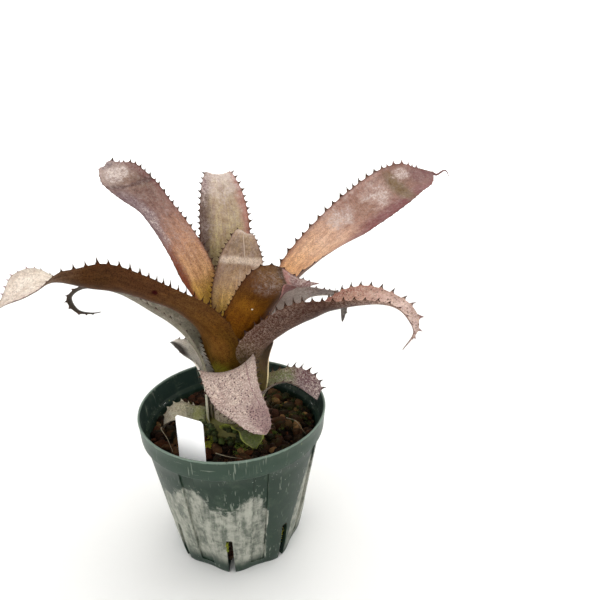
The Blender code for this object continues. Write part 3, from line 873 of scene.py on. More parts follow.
class Midrib:
    """A leaf's centreline with its across and upper directions, read by length from the foot."""

    SAMPLES = 240
    STEP = 1.5

    def __init__(self, leaf):
        ring = leaf["ring"]
        azimuth = math.radians(leaf["azimuth"])
        turn = math.radians(leaf["turn"])
        self.out = Vector((math.cos(azimuth), math.sin(azimuth), 0))
        self.side = Vector((-math.sin(azimuth), math.cos(azimuth), 0))
        seat_height = STEM_SHOULDER + STEM_RADIUS - ring + SEAT_GAP
        seat = (ring * math.cos(turn), seat_height, ring * math.sin(turn))
        controls = [self.place(*point) for point in (seat, *leaf["path"])]
        self.points = [catmull(controls, index / self.SAMPLES) for index in range(self.SAMPLES + 1)]
        self.lengths = [0.0]
        for first, second in zip(self.points, self.points[1:]):
            self.lengths.append(self.lengths[-1] + (second - first).length)
        self.length = self.lengths[-1]

    def place(self, out, up, aside=0.0):
        return self.out * out + Vector((0, 0, up)) + self.side * aside

    def centre(self, length):
        length = min(max(length, 0.0), self.length)
        index = min(max(bisect.bisect_right(self.lengths, length) - 1, 0), self.SAMPLES - 1)
        span = self.lengths[index + 1] - self.lengths[index]
        return self.points[index].lerp(self.points[index + 1], (length - self.lengths[index]) / span)

    def frame(self, length):
        """Centre, along, across and upper directions at a length, before any roll."""
        low = self.centre(length - self.STEP)
        along = (self.centre(length + self.STEP) - low).normalized()
        across = (self.side - along * self.side.dot(along)).normalized()
        return self.centre(length), along, across, along.cross(across)


def read_table(table, share):
    """A smooth reading of a table of (share, value), which never swings past its own values."""
    index = min(max(bisect.bisect_right([stop for stop, _ in table], share) - 1, 0), len(table) - 2)
    slopes = [(high[1] - low[1]) / (high[0] - low[0]) for low, high in zip(table, table[1:])]
    tangents = [0.0]
    for before, after in zip(slopes, slopes[1:]):
        tangents.append(0.0 if before * after <= 0 else 2 * before * after / (before + after))
    tangents.append(slopes[-1])
    start, first = table[index]
    end, second = table[index + 1]
    span = end - start
    t = min(max((share - start) / span, 0.0), 1.0)
    return ((2 * t ** 3 - 3 * t ** 2 + 1) * first + (t ** 3 - 2 * t ** 2 + t) * span * tangents[index]
            + (3 * t ** 2 - 2 * t ** 3) * second + (t ** 3 - t ** 2) * span * tangents[index + 1])


def blade_shape(leaf, share):
    """Half width, edge angle and roll at a share of the leaf's length, the angles in radians."""
    sheath = leaf["sheath"]
    foot = leaf["ring"] * math.radians(sheath)
    widths = ((0.0, foot), (0.1, foot), *leaf["widths"], (1.0, TIP_HALF_WIDTH))
    angle = sheath + (leaf["angle"] - sheath) * smoothstep(*OPENS_OVER, share)
    return read_table(widths, share), math.radians(angle), math.radians(read_table(leaf["rolls"], share))


def margin_rows(midrib, leaf):
    """Rows along the blade: their lengths, the tooth that each belongs to and its place in it."""
    bare = leaf["bare"] * midrib.length
    steps = max(int(bare / SHEATH_STEP), 2)
    rows = [(bare * index / steps, -1, 0.5, 0.0) for index in range(steps)]
    first, last = leaf["pitch"]
    small_from, small = leaf["small"]
    at = bare
    tooth = 0
    while True:
        share = at / midrib.length
        pitch = (first + (last - first) * share) * (small if share > small_from else 1.0)
        if at + pitch > midrib.length * LAST_TOOTH:
            break
        for offset, reach in TOOTH_ROWS:
            rows.append((at + (offset + 0.5) * pitch, tooth, offset, reach))
        at += pitch
        tooth += 1
    remaining = midrib.length - at
    steps = max(int(remaining / TIP_STEP), 3)
    rows += [(at + remaining * index / steps, -1, 0.5, 0.0) for index in range(steps + 1)]
    return rows


def column_places():
    """Across positions of a flattened tube's columns: over the upper face, then back underneath."""
    right = [-place for place in reversed(BLADE_COLUMNS)] + list(BLADE_COLUMNS[1:])
    return [(place, 1.0) for place in right] + [(place, -1.0) for place in reversed(right[:-1])]


def turned_pair(across, upper, angle):
    """Two directions turned together in their own plane."""
    return (across * math.cos(angle) + upper * math.sin(angle),
            upper * math.cos(angle) - across * math.sin(angle))


class Blade:
    """A leaf's surface as a flattened tube: rows along the midrib, columns round the section."""

    def __init__(self, leaf, seed):
        self.leaf = leaf
        self.seed = seed
        self.midrib = Midrib(leaf)
        self.rows = margin_rows(self.midrib, leaf)
        self.columns = column_places()
        draw = random.Random(seed)
        self.tooth_sizes = {(side, tooth): draw.uniform(*TOOTH_SPREAD)
                            for tooth in range(-1, MOST_TEETH) for side in (-1, 1)}

    def vertex(self, row, column):
        """Where a vertex lies, with its values for the float layers that the skin reads."""
        leaf = self.leaf
        length, tooth, offset, reach = self.rows[row]
        across, face = self.columns[column]
        edge = abs(across)
        side = 1 if across > 0 else -1
        if 0 < row < len(self.rows) - 1:
            pitch = leaf["pitch"][0]
            drift = noise.noise(Vector((length / pitch * 0.7, side * 9.0, self.seed)))
            length += smoothstep(0.5, 1.0, edge) * MARGIN_DRIFT * pitch * drift
        share = min(max(length / self.midrib.length, 0.0), 1.0)
        width, angle, roll = blade_shape(leaf, share)
        centre, along, crossways, upper = self.midrib.frame(length)
        crossways, upper = turned_pair(crossways, upper, roll)
        tangent, normal = turned_pair(crossways, upper, angle * across)
        bend = width / angle
        point = centre + crossways * (bend * math.sin(angle * across))
        point += upper * (bend * (1.0 - math.cos(angle * across)))
        point += normal * self.relief(length, share, across, face, side, width)
        toothed = edge == 1.0 and tooth >= 0
        if toothed:
            size = self.tooth_size(side, tooth, share, width)
            dip = leaf["scallop"] * (1.0 - (1.0 - 2.0 * abs(offset)) ** 2) * min(1.0, width / 6.0)
            splay_until, splay = leaf["splay"]
            if share < splay_until:
                point -= normal * (splay * size * reach)
            point += tangent * side * (reach * size - dip) + along * (TOOTH_LEAN * size * reach * reach)
        upper_value = 0.5 if edge == 1.0 else 0.5 + 0.5 * face
        return point, {"along": share, "across": across, "upper": upper_value,
                       "spine": reach ** 0.5 if toothed else 0.0}

    def relief(self, length, share, across, face, side, width):
        """How far a face lies off the section's arc: thickness, puckers, waves and the sheath's wrap."""
        leaf = self.leaf
        swell = PUCKER * noise.noise(Vector((length / 9.0, across * 1.6, self.seed * 3.7)))
        wave = noise.noise(Vector((length / leaf["wave_step"], side * 4.0, self.seed)))
        swell += leaf["wave"] * across * across * wave
        opened = smoothstep(*SPREADS_OVER, share)
        wrap = SHEATH_WRAP * across * (1.0 - opened) * smoothstep(0.3, 1.0, abs(across))
        half = BLADE_THICKNESS / 2 * (1.0 - abs(across) ** 3) * min(1.0, width / 4.0)
        return swell * opened * min(1.0, width / 6.0) - wrap + face * half

    def tooth_size(self, side, tooth, share, width):
        size = self.leaf["tooth"] * self.tooth_sizes[side, tooth] * min(1.0, width / 5.0 + 0.25)
        plain_side, plain_from = self.leaf["plain"]
        if plain_side == side and share > plain_from:
            size *= PLAIN_TOOTH
        small_from, small = self.leaf["small"]
        return size * small if share > small_from else size


def make_leaf(name, leaf, seed):
    blade = Blade(leaf, seed)
    last_row = len(blade.rows) - 1
    last_column = len(blade.columns) - 1
    bm = bmesh.new()
    layers = {key: bm.verts.layers.float.new(key) for key in ("along", "across", "upper", "spine")}
    bmesh.ops.create_grid(bm, x_segments=last_column, y_segments=last_row, size=1.0)
    grid = {}
    for vert in bm.verts:
        column = round((vert.co.x + 1.0) / 2.0 * last_column)
        row = round((vert.co.y + 1.0) / 2.0 * last_row)
        grid[row, column] = vert
    for place, vert in grid.items():
        vert.co, values = blade.vertex(*place)
        for key, value in values.items():
            vert[layers[key]] = value
    seam = {grid[row, last_column]: grid[row, 0] for row in range(last_row + 1)}
    bmesh.ops.weld_verts(bm, targetmap=seam)
    tip = [grid[last_row, column] for column in range(last_column)]
    bmesh.ops.pointmerge(bm, verts=tip, merge_co=blade.midrib.centre(blade.midrib.length))
    bmesh.ops.holes_fill(bm, edges=[edge for edge in bm.edges if edge.is_boundary], sides=0)
    bmesh.ops.triangulate(bm, faces=[face for face in bm.faces if len(face.verts) > 4])
    if leaf["tail"]:
        controls = [blade.midrib.place(*point) for point in leaf["tail"]]
        add_thread(bm, controls, TAIL_RADIUS, {"along": 1.0, "across": 0.0, "upper": 1.0, "spine": 0.35})
    bmesh.ops.recalc_face_normals(bm, faces=bm.faces)
    skin = Skin(f"{name}_skin", leaf["look"])
    finish_piece(f"{name}_blade", bm, skin.laid(), name, name, sharp=75.0)


# Leaf skins

# What a look has unless its leaf says otherwise. Patches are ovals of (along, reach, across, spread,
# strength, colour) on one face, bands are (along, half width, slant, strength, colour), lines are
# (start, end, width, strength, colour) with ends as (along, across), a fold is (along, bow, colour of
# its ridge's painted highlight, colour beyond), and silver ovals are (along, reach, across, spread,
# amount). Some patches and bands are painted shade, a painted highlight or a painted glint.
PLAIN_LOOK = dict(
    shine=0.15, stripe="b08c80", stripes=0.5, hairs=0.3, edge_from=0.6,
    patches_upper=(), patches_under=(), bands=(), fold=None, silver_ovals_upper=(), silver_ovals_under=(),
    flecked=0.6, patchy=1.0, silver="e2d6cf", silver_low="c4b2ab", net=0.25, net_scale=620.0,
    net_colour="5a3a42", mottle=0.3, covered=0.7, pores=0.6, pore="80685e", margin=0.45, dots=0.0,
    dot="4c2c38", lines=(), marks=0.0, spine="261610", tip_spine="261610")


class Skin(Finish):
    """A leaf's skin: a ground on each face, streaks and patches, silver scales with a net, dark spines."""

    def __init__(self, name, look):
        self.look = PLAIN_LOOK | look
        super().__init__(name, {
            "Specular IOR Level": self.look["shine"], "Subsurface Weight": 0.05,
            "Subsurface Radius": (0.004, 0.002, 0.001), "Subsurface Scale": 0.3})
        self.along = self.attribute("along")
        self.across = self.attribute("across")
        upper = self.step(0.45, 0.55, self.attribute("upper"))
        self.faces = {"upper": upper, "under": 1.0 - upper}
        self.drift = self.cloud(70.0, 3.0, 0.55)
        self.soft = self.cloud(170.0, 4.0, 0.65, self.stretched((1.0, 1.0, 1.0), (0.7, 0.2, 0.4)))
        self.grain = self.cloud(760.0, 3.0, 0.65)
        self.fine = self.cloud(1900.0, 2.0, 0.6)
        self.stripes = self.cloud(1.0, 5.0, 0.7, self.streaked(5.0, 3.5, 2.5))

    def laid(self):
        """The material, laid from the ground up."""
        self.lay_ground()
        self.lay_streaks()
        self.lay_patches()
        if self.look["fold"]:
            self.lay_fold(*self.look["fold"])
        silver = self.lay_silver()
        self.lay_pores(silver)
        self.lay_marks()
        height = self.stripes * 0.5 + silver * 0.35 + self.grain * 0.35 + self.soft * 0.6
        return self.done(0.45 + 0.3 * silver + 0.12 * self.grain, self.bump(height, 0.18, 0.8))

    def streaked(self, across, along, drift):
        """Blade coordinates for noise, stretched by two factors, with a wander."""
        return self.vector(self.across * across, self.along * along, self.drift * drift)

    def oval(self, at, reach, side, spread):
        """1 well inside an oval patch of the blade and 0 outside it, with an uneven edge."""
        ragged = self.soft - 0.5
        down = (self.along + ragged * min(0.06, reach) - at) * (1.0 / reach)
        over = (self.across + ragged * min(0.6, spread) - side) * (1.0 / spread)
        return 1.0 - self.step(0.35, 1.0, self.math("SQRT", down * down + over * over))

    def line(self, start, end, width):
        """1 on a thin, slightly uneven line between two places (along, across) and 0 off it."""
        progress = (self.along - start[0]) * (1.0 / (end[0] - start[0]))
        middle = start[1] + progress * (end[1] - start[1])
        off = abs(self.across + (self.soft - 0.5) * 0.12 - middle)
        ends = self.step(0.0, 0.12, progress) * (1.0 - self.step(0.88, 1.0, progress))
        return (1.0 - self.step(width * 0.4, width, off)) * ends

    def lay_ground(self):
        read = self.along + (self.drift - 0.5) * 0.1
        grounds = [self.ramp(read, self.look[face]) for face in ("under", "upper")]
        self.colour = self.mix(self.faces["upper"], *grounds)

    def lay_streaks(self):
        look = self.look
        hairlines = self.cloud(1.0, 4.0, 0.75, self.streaked(12.0, 14.0, 4.0))
        self.paint(self.step(0.4, 0.62, self.stripes) * look["stripes"], look["stripe"], "MULTIPLY")
        self.paint(self.step(0.46, 0.62, hairlines) * look["hairs"], look["stripe"], "MULTIPLY")
        self.paint((1.0 - self.step(0.36, 0.5, hairlines)) * 0.25, "e8d4c8", "SOFT_LIGHT")
        edge = self.step(look["edge_from"], 1.05, abs(self.across) + (self.soft - 0.5) * 0.4)
        self.paint(edge * look["edge_strength"], look["edge"])

    def lay_patches(self):
        for face, shown in self.faces.items():
            for *oval, strength, colour in self.look[f"patches_{face}"]:
                self.paint(self.oval(*oval) * shown * strength, colour)
        for at, width, slant, strength, colour in self.look["bands"]:
            distance = abs(self.along + self.across * slant + (self.soft - 0.5) * 0.03 - at)
            self.paint((1.0 - self.step(width * 0.3, width, distance)) * strength, colour)

    def lay_fold(self, at, bow, ridge_highlight_colour, beyond):
        """A bowed fold across the leaf: painted crease shadow, painted ridge highlight, a colour beyond."""
        bowed = self.along + self.math("MAXIMUM", self.across, 0.0) * bow + (self.soft - 0.5) * 0.02
        # The crease is painted shadow and the ridge a painted highlight.
        painted_crease_shadow = self.step(at - 0.025, at - 0.004, bowed) * (1.0 - self.step(at - 0.004, at + 0.002, bowed))
        painted_ridge_highlight = self.step(at - 0.002, at + 0.006, bowed) * (1.0 - self.step(at + 0.012, at + 0.03, bowed))
        self.paint(self.step(at - 0.003, at + 0.003, bowed), beyond)
        self.paint(painted_crease_shadow * 0.8, "2c1c12")
        self.paint(painted_ridge_highlight * 0.9, ridge_highlight_colour)

    def lay_silver(self):
        """Silver scales with a net between them. Returns how much of the skin they cover."""
        look = self.look
        ramps = [self.ramp(self.along, look[f"silver_{face}"]) for face in ("under", "upper")]
        cover = self.mix(self.faces["upper"], *ramps)
        for face, shown in self.faces.items():
            for *oval, more in look[f"silver_ovals_{face}"]:
                cover = cover + self.oval(*oval) * shown * more
        crossing = self.cloud(1.0, 3.0, 0.6, self.streaked(3.0, 30.0, 2.0))
        uneven = self.step(0.38, 0.62, self.soft * 0.4 + crossing * 0.35 + self.stripes * 0.25)
        speckle = self.step(0.44, 0.56, self.grain * 0.4 + self.fine * 0.6)
        flecked = look["flecked"]
        spread = cover * ((1.0 - 0.7 * look["patchy"]) + uneven * look["patchy"])
        amount = (spread * ((1.0 - flecked) + speckle * (1.8 * flecked))).clipped()
        self.paint(amount * 0.85, self.mix(self.soft, look["silver"], look["silver_low"]))
        wander = self.node("ShaderNodeTexNoise", sockets={"Vector": self.place(), "Scale": 500.0}, output=1)
        warped = self.node("ShaderNodeVectorMath", {"operation": "MULTIPLY_ADD"},
                           {0: wander, 1: (NET_WANDER, NET_WANDER, NET_WANDER), 2: self.place()})
        net = 1.0 - self.step(0.03, 0.16, self.cells(look["net_scale"], warped, "DISTANCE_TO_EDGE"))
        self.paint((net * cover * (0.4 + 0.6 * self.grain) * look["net"]).clipped(), look["net_colour"])
        return amount

    def lay_pores(self, silver):
        look = self.look
        mottle = self.step(0.42, 0.62, self.cloud(430.0, 4.0, 0.7))
        pores = self.step(0.48, 0.62, self.fine) * (1.0 - silver * look["covered"])
        margin = self.step(0.9, 0.985, abs(self.across) + (self.fine - 0.5) * 0.1)
        self.paint(mottle * look["mottle"], "a88e86", "MULTIPLY")
        self.paint(pores * look["pores"], look["pore"], "MULTIPLY")
        self.paint(margin * look["margin"], "74504c", "MULTIPLY")

    def lay_marks(self):
        """Dots, drawn lines, small dark marks, and the spines."""
        look = self.look
        if look["dots"]:
            dots = 1.0 - self.step(0.22, 0.46, self.cells(820.0))
            where = self.step(0.4, 0.58, self.soft * 0.5 + self.grain * 0.5)
            self.paint(dots * where * look["dots"], look["dot"])
        for start, end, width, strength, colour in look["lines"]:
            self.paint(self.line(start, end, width) * strength, colour)
        if look["marks"]:
            marks = 1.0 - self.step(0.12, 0.26, self.cells(1.0, self.streaked(5.0, 34.0, 6.0)))
            self.paint(marks * self.step(0.4, 0.6, self.soft) * look["marks"], "2c2a22")
        spines = self.mix(self.step(0.82, 0.87, self.along), look["spine"], look["tip_spine"])
        self.paint(self.step(0.06, 0.4, self.attribute("spine")) * 0.95, spines)


# Looks that several leaves share. Each gives what its leaves have in common.
PINK_TAN = dict(
    under=((0.0, "7c7a40"), (0.35, "7a5a3c"), (0.7, "75554a"), (1.0, "7d6260")),
    margin=0.7, silver_under=((0.0, 0.1), (0.5, 0.35), (1.0, 0.5)))
BROWN = dict(
    edge="4a2e1a", edge_strength=0.35, stripe="a48468", shine=0.04, stripes=0.45, hairs=0.1,
    silver_upper=((0.0, 0.1), (0.6, 0.3), (1.0, 0.6)), silver_under=((0.0, 0.0), (0.8, 0.0), (1.0, 0.15)))
GREY = dict(
    under=((0.0, "6c6a40"), (0.4, "686048"), (1.0, "60564c")),
    edge="54443c", edge_strength=0.4, stripe="98948a", silver="d0c8b8", silver_low="aca294",
    silver_upper=((0.0, 0.2), (0.5, 0.45), (1.0, 0.5)), silver_under=((0.0, 0.25), (0.5, 0.5), (1.0, 0.5)),
    net=0.5, net_colour="3c3a2c", net_scale=800.0)
MOTTLED = dict(
    upper=((0.0, "7c7c50"), (0.3, "8c7c70"), (1.0, "8a6a70")),
    under=((0.0, "7c7c50"), (0.5, "77705e"), (1.0, "7a6466")),
    edge="7c5a60", edge_strength=0.3, flecked=0.45, patchy=0.4, stripe="b09aa4", stripes=0.3, pores=0.8,
    pore="5c3c44", covered=0.25, silver="fff2e2", silver_low="f4e2d0", mottle=0.12, dots=0.95,
    silver_upper=((0.0, 0.5), (0.4, 0.9), (1.0, 0.75)), silver_under=((0.0, 0.4), (1.0, 0.6)),
    net=0.6, net_colour="5c3a40", net_scale=1000.0)
SHORT_LEAF_GROUND = ((0.0, "c4c8a8"), (0.5, "f4eee0"), (1.0, "fff8f0"))
# The short leaf's dark oval is painted shade below its fold.
SHORT_LEAF_SHADE = (0.84, 0.22, 0.5, 0.85, 1.0, "2c1e16")
STUB_GROUND = ((0.0, "222c0c"), (0.4, "34420f"), (1.0, "5c6c28"))

# What a leaf has unless its own entry says otherwise. turn moves the seat round its ring, sheath is the
# half angle that the foot wraps, bare is the share of the length without teeth, small is (from, factor)
# for smaller teeth near the tip, plain is (side, from) for a margin with hardly any, splay is
# (until, share) for teeth bent off the upper face, wave and wave_step are the height and length of the
# margin's waves, and tail is a withered thread's path.
PLAIN_LEAF = dict(turn=0, sheath=49.0, bare=0.2, small=(1.0, 1.0), plain=(0, 0.0), splay=(0.0, 0.0),
                  wave=0.3, wave_step=14.0, tail=())

# Each leaf: its azimuth and the ring where it sits on the stem, the opened blade's edge angle, its
# centreline as (out, up, aside), half widths and rolls as (share of length, value), its teeth and its look
LEAVES = {
    "leaf_heart_back": dict(
        azimuth=67, ring=6.0, angle=31,
        path=((6, 119), (6.5, 144, -1), (10, 163.5, -3), (13.5, 177, -3), (17, 182, -2),
              (23, 179.5, -2.5)),
        widths=((0.24, 5), (0.36, 7.5), (0.48, 13), (0.6, 14.5), (0.8, 12), (0.95, 4)),
        rolls=((0, 0), (0.6, 2), (0.8, 20), (1, 11)),
        pitch=(3.4, 2.2), tooth=1.5, scallop=0.2,
        look=PINK_TAN | dict(
            upper=((0.0, "c4ac30"), (0.45, "f0d048"), (0.57, "f8d484"), (0.68, "d4b488"),
                   (0.77, "a88c6c"), (0.84, "9c8464"), (0.93, "b09878"), (1.0, "e0d4c4")),
            # The pale band across the blade is a painted highlight.
            edge="8c6c58", edge_strength=0.45, bands=((0.79, 0.03, 0.0, 0.75, "ecdac4"),),
            patches_upper=((0.88, 0.05, 0.1, 0.5, 0.5, "846c50"), (0.6, 0.3, 1.0, 0.3, 0.5, "8c6c54"),
                           (0.88, 0.05, 0.5, 0.4, 0.4, "74604c")),
            lines=(((0.8, -0.12), (0.95, 0.02), 0.04, 0.35, "ecdccc"),
                   ((0.52, -0.15), (0.76, 0.05), 0.06, 0.15, "f0e0c8")),
            silver_upper=((0.0, 0.0), (0.6, 0.15), (0.75, 0.3), (0.9, 0.25), (1.0, 0.9)))),
    "leaf_heart_front": dict(
        azimuth=-48, ring=7.8, angle=46,
        path=((8, 113.5), (11.5, 133.5, 0.5), (22, 152, 4), (31.5, 163.5, 5.5), (38.5, 168, 7),
              (45, 167, 11), (49, 167.5, 19.5)),
        widths=((0.24, 6.5), (0.36, 8.5), (0.48, 14), (0.7, 14.5), (0.88, 9.5), (0.95, 3.5)),
        rolls=((0, 0), (0.24, -3), (0.48, -16), (0.7, -22), (0.8, -38), (0.88, -36), (1, -8)),
        pitch=(4.0, 3.0), tooth=1.0, scallop=0.2,
        look=BROWN | dict(
            under=((0.0, "402a04"), (0.4, "523406"), (0.5, "6c420a"), (0.6, "704810"), (0.68, "5c3a12"),
                   (0.76, "5c3a1c"), (0.85, "80603c"), (1.0, "b08c90")),
            upper=((0.0, "a8902a"), (0.5, "b08a70"), (0.8, "a47c7c"), (1.0, "b49290")),
            # The fold's dark crease is painted shadow and its pale ridge a painted highlight.
            fold=(0.853, 0.27, "a8746c", "74504e"),
            # The first oval, amber, is painted light shining through the leaf; the last, tiny and pale, is a
            # painted glint.
            patches_under=((0.6, 0.06, -0.45, 0.5, 0.3, "8c5c18"), (0.66, 0.1, 0.45, 0.3, 0.5, "4a2e14"),
                           (0.6, 0.006, -0.2, 0.045, 0.95, "f4eedc")),
            silver_under=((0.0, 0.0), (0.7, 0.0), (0.78, 0.06), (0.83, 0.05), (0.88, 0.4), (1.0, 0.6)),
            silver_ovals_under=((0.78, 0.1, -0.15, 0.7, 0.16),), flecked=0.9)),
    "leaf_back": dict(
        azimuth=99, ring=11.4, angle=34,
        path=((13.5, 112), (19.5, 138.5), (27.5, 162.5), (34.5, 186.5), (41, 205.5, 1), (49, 208.5, 1.5),
              (57, 199.5, 1)),
        widths=((0.2, 10), (0.36, 14), (0.5, 15.5), (0.7, 15), (0.8, 13), (0.88, 8.5), (0.95, 4)),
        rolls=((0, 0), (0.24, 2), (0.5, 10), (0.8, 11), (0.9, 0), (1, 3)),
        pitch=(4.2, 3.2), tooth=2.2, scallop=0.3,
        look=PINK_TAN | dict(
            upper=((0.0, "7c8238"), (0.4, "a8a45e"), (0.53, "b0a46c"), (0.65, "c0b07c"), (0.78, "c0ae8c"),
                   (0.9, "e2d6c8"), (1.0, "e6dcd4")),
            edge="885a62", edge_strength=0.6, edge_from=0.7,
            # The third oval, olive, low in the middle of the blade, is painted shade.
            patches_upper=((0.7, 0.4, 1.0, 0.75, 1.0, "42240c"), (0.74, 0.3, -1.0, 0.45, 0.9, "b07868"),
                           (0.5, 0.14, 0.3, 0.9, 0.45, "6e663c"), (0.84, 0.04, 1.0, 0.5, 0.8, "6c4a54")),
            silver_upper=((0.0, 0.05), (0.55, 0.2), (0.75, 0.35), (0.82, 0.7), (0.88, 0.95), (1.0, 0.8)))),
    "leaf_back_left": dict(
        azimuth=151, ring=7.8, angle=41,
        path=((9, 112.5), (15, 141, -1), (24, 165.5, -0.5), (39.5, 187), (58, 202), (73.5, 211),
              (80.5, 214.5, -1.5), (84, 213, -2.5)),
        widths=((0.24, 7), (0.36, 9.5), (0.48, 11.5), (0.7, 11), (0.8, 12.5), (0.88, 12.5), (0.95, 6.5)),
        rolls=((0, 0), (0.24, -4), (0.36, 0), (0.48, -19), (0.7, -15), (0.85, -29), (1, -31)),
        pitch=(5.0, 3.2), tooth=1.9, scallop=0.3, plain=(1, 0.34),
        look=PINK_TAN | dict(
            upper=((0.0, "a4a028"), (0.3, "c8ac2c"), (0.39, "d8b048"), (0.47, "e2b27c"), (0.58, "bc8c6c"),
                   (0.7, "8c685c"), (0.8, "806258"), (0.86, "846a5c"), (0.95, "b8a8a0"), (1.0, "9c847e")),
            edge="805058", edge_strength=0.35, edge_from=0.75,
            patches_upper=((0.48, 0.2, 0.95, 0.75, 1.0, "783614"), (0.72, 0.2, 0.75, 0.9, 0.9, "5c404a"),
                           (0.83, 0.03, -0.6, 0.5, 0.6, "6c5040"), (0.86, 0.14, -1.0, 0.45, 0.8, "704440"),
                           (0.97, 0.03, 0.0, 1.3, 0.8, "4c3038")),
            # The dark band is a painted shadow under the hooded tip.
            bands=((0.846, 0.012, -0.03, 0.8, "4c2c28"),),
            silver_upper=((0.0, 0.0), (0.45, 0.05), (0.6, 0.2), (0.8, 0.15), (0.86, 0.2), (1.0, 0.4)),
            silver_ovals_upper=((0.91, 0.045, -0.05, 0.75, 1.2), (0.7, 0.15, 0.5, 0.4, 0.3)),
            flecked=0.75, silver="f0e6e0", silver_low="d8c8c0")),
    "leaf_back_right": dict(
        azimuth=30, ring=9.6, angle=35,
        path=((11, 110), (18.5, 132.5, -1.5), (34, 152.5, -2.5), (53, 166.5), (74, 179.5, 1), (95.5, 193),
              (115.5, 202.5), (130, 204.5, 1), (140.5, 207.5, 2.5)),
        widths=((0.24, 8), (0.36, 14), (0.48, 18), (0.6, 17), (0.8, 16), (0.88, 13.5), (0.95, 8)),
        rolls=((0, 0), (0.24, 0), (0.36, -14), (0.48, -4), (0.7, 28), (0.85, 35), (1, 36)),
        pitch=(9.0, 3.4), tooth=2.7, scallop=0.25, plain=(-1, 0.5),
        tail=((139.5, 207.5, 2.5), (143, 206, 1.5), (146.5, 208.5, -0.5), (150, 207.5, 0), (153, 204.5, 1)),
        look=PINK_TAN | dict(
            upper=((0.0, "8c7a30"), (0.3, "c08848"), (0.42, "f0b880"), (0.5, "ecc09a"), (0.6, "dcb498"),
                   (0.67, "ac8270"), (0.78, "a07a6c"), (0.86, "8c6858"), (0.93, "845a50"), (1.0, "74484e")),
            edge="94605e", edge_strength=0.35, edge_from=0.75,
            patches_upper=((0.76, 0.32, -1.0, 0.85, 0.95, "74363a"), (0.43, 0.14, -0.95, 0.35, 0.9, "643830"),
                           (0.84, 0.034, -0.1, 1.3, 0.95, "6e5634"), (0.71, 0.05, 0.1, 0.7, 0.6, "8c6450"),
                           (0.6, 0.3, 1.0, 0.3, 0.5, "8c5c4c"), (0.93, 0.05, 0.2, 0.8, 0.5, "6c4448")),
            silver_upper=((0.0, 0.0), (0.45, 0.1), (0.55, 0.2), (0.8, 0.2), (1.0, 0.2)),
            silver_ovals_upper=((0.64, 0.06, 0.4, 0.55, 0.8), (0.77, 0.06, 0.2, 0.75, 0.65),
                                (0.88, 0.04, 0.5, 0.4, 0.7), (0.7, 0.2, 0.95, 0.2, 0.3)),
            hairs=0.15, stripes=0.4, silver="ece0d8", tip_spine="6c4c4a")),
    "leaf_left_front": dict(
        azimuth=-143, ring=11.4, turn=51, sheath=52, angle=65,
        path=((8, 107.5, 7), (11, 129.5, 5), (24.5, 148.5, 2), (43, 161, -1.5), (61.5, 170.5, -2),
              (83.5, 177.5, 0.5), (95.5, 174.5, 2), (108, 167, 1)),
        widths=((0.12, 10), (0.24, 13.5), (0.36, 14), (0.48, 12), (0.6, 13), (0.7, 12), (0.8, 7.5),
                (0.88, 8), (0.95, 1.5)),
        rolls=((0, 51), (0.12, 28), (0.24, 41), (0.36, 25), (0.6, 30), (0.7, 45), (0.795, 27), (0.875, -33),
               (1, -26)),
        pitch=(2.0, 5.6), tooth=2.7, scallop=1.5, bare=0.13, small=(0.8, 0.45), splay=(0.3, 0.7),
        look=BROWN | dict(
            under=((0.0, "4c300c"), (0.2, "5c4414"), (0.34, "664418"), (0.46, "5e4020"), (0.56, "563820"),
                   (0.75, "50341a"), (0.82, "705844"), (1.0, "b0a494")),
            upper=((0.0, "8a7030"), (0.5, "9a8468"), (0.75, "f4ecdc"), (0.93, "f4e8dc"), (1.0, "80604c")),
            patches_under=((0.55, 0.014, 0.5, 0.15, 1.0, "300404"), (0.17, 0.05, -0.2, 1.0, 0.6, "7c7a24"),
                           (0.5, 0.2, -0.6, 0.3, 0.3, "4e321a"), (0.26, 0.07, 0.1, 0.5, 0.4, "885a28"),
                           (0.7, 0.03, 0.2, 0.8, 0.3, "38240e")),
            tip_spine="8c6478", silver="fcf8f0", silver_low="ece2d4")),
    "leaf_right_front": dict(
        azimuth=-16, ring=11.4, sheath=62, angle=65,
        path=((11.5, 106), (17, 122.5), (29, 135), (45.5, 145.5), (63.5, 154), (80.5, 157.5), (91.5, 154),
              (96.5, 144.5), (91.5, 133.5)),
        widths=((0.12, 12.5), (0.24, 15), (0.36, 14), (0.48, 15), (0.6, 13), (0.7, 11.5), (0.8, 6),
                (0.88, 4), (0.95, 1)),
        rolls=((0, 0), (0.12, 0), (0.24, -20), (0.36, -30), (0.5, -27), (0.56, -18), (0.65, 0), (0.8, 11),
               (0.88, 30), (1, 25)),
        pitch=(4.8, 4.6), tooth=2.7, scallop=0.7,
        look=BROWN | dict(
            under=((0.0, "5c5828"), (0.2, "584c24"), (0.3, "4a2c1e"), (0.42, "3e2014"), (0.65, "3a1e14"),
                   (0.8, "6c4c46"), (0.92, "7c5c5c"), (1.0, "443038")),
            upper=((0.0, "8a7a40"), (0.5, "bc8470"), (0.7, "c49484"), (0.8, "ecd0c8"), (0.9, "e8d4d2"),
                   (1.0, "5c4248")),
            patches_upper=((0.62, 0.3, 0.95, 0.3, 0.6, "98584c"),), shine=0.1, margin=0.0, stripes=0.3,
            silver_upper=((0.0, 0.1), (0.5, 0.3), (0.75, 0.8), (0.9, 1.0), (1.0, 0.2)),
            silver_ovals_upper=((0.62, 0.35, -1.0, 0.3, 0.8),),
            silver_under=((0.0, 0.1), (0.22, 0.16), (0.3, 0.28), (0.42, 0.22), (0.6, 0.1), (0.8, 0.7),
                          (0.9, 0.7), (1.0, 0.2)),
            dots=0.75, dot="341810", silver="f6e0d2", silver_low="ae8a74", tip_spine="7c5c5c", net=0.3,
            net_colour="30180f", net_scale=900.0, flecked=0.95, patchy=0.6)),
    "leaf_front_drooping": dict(
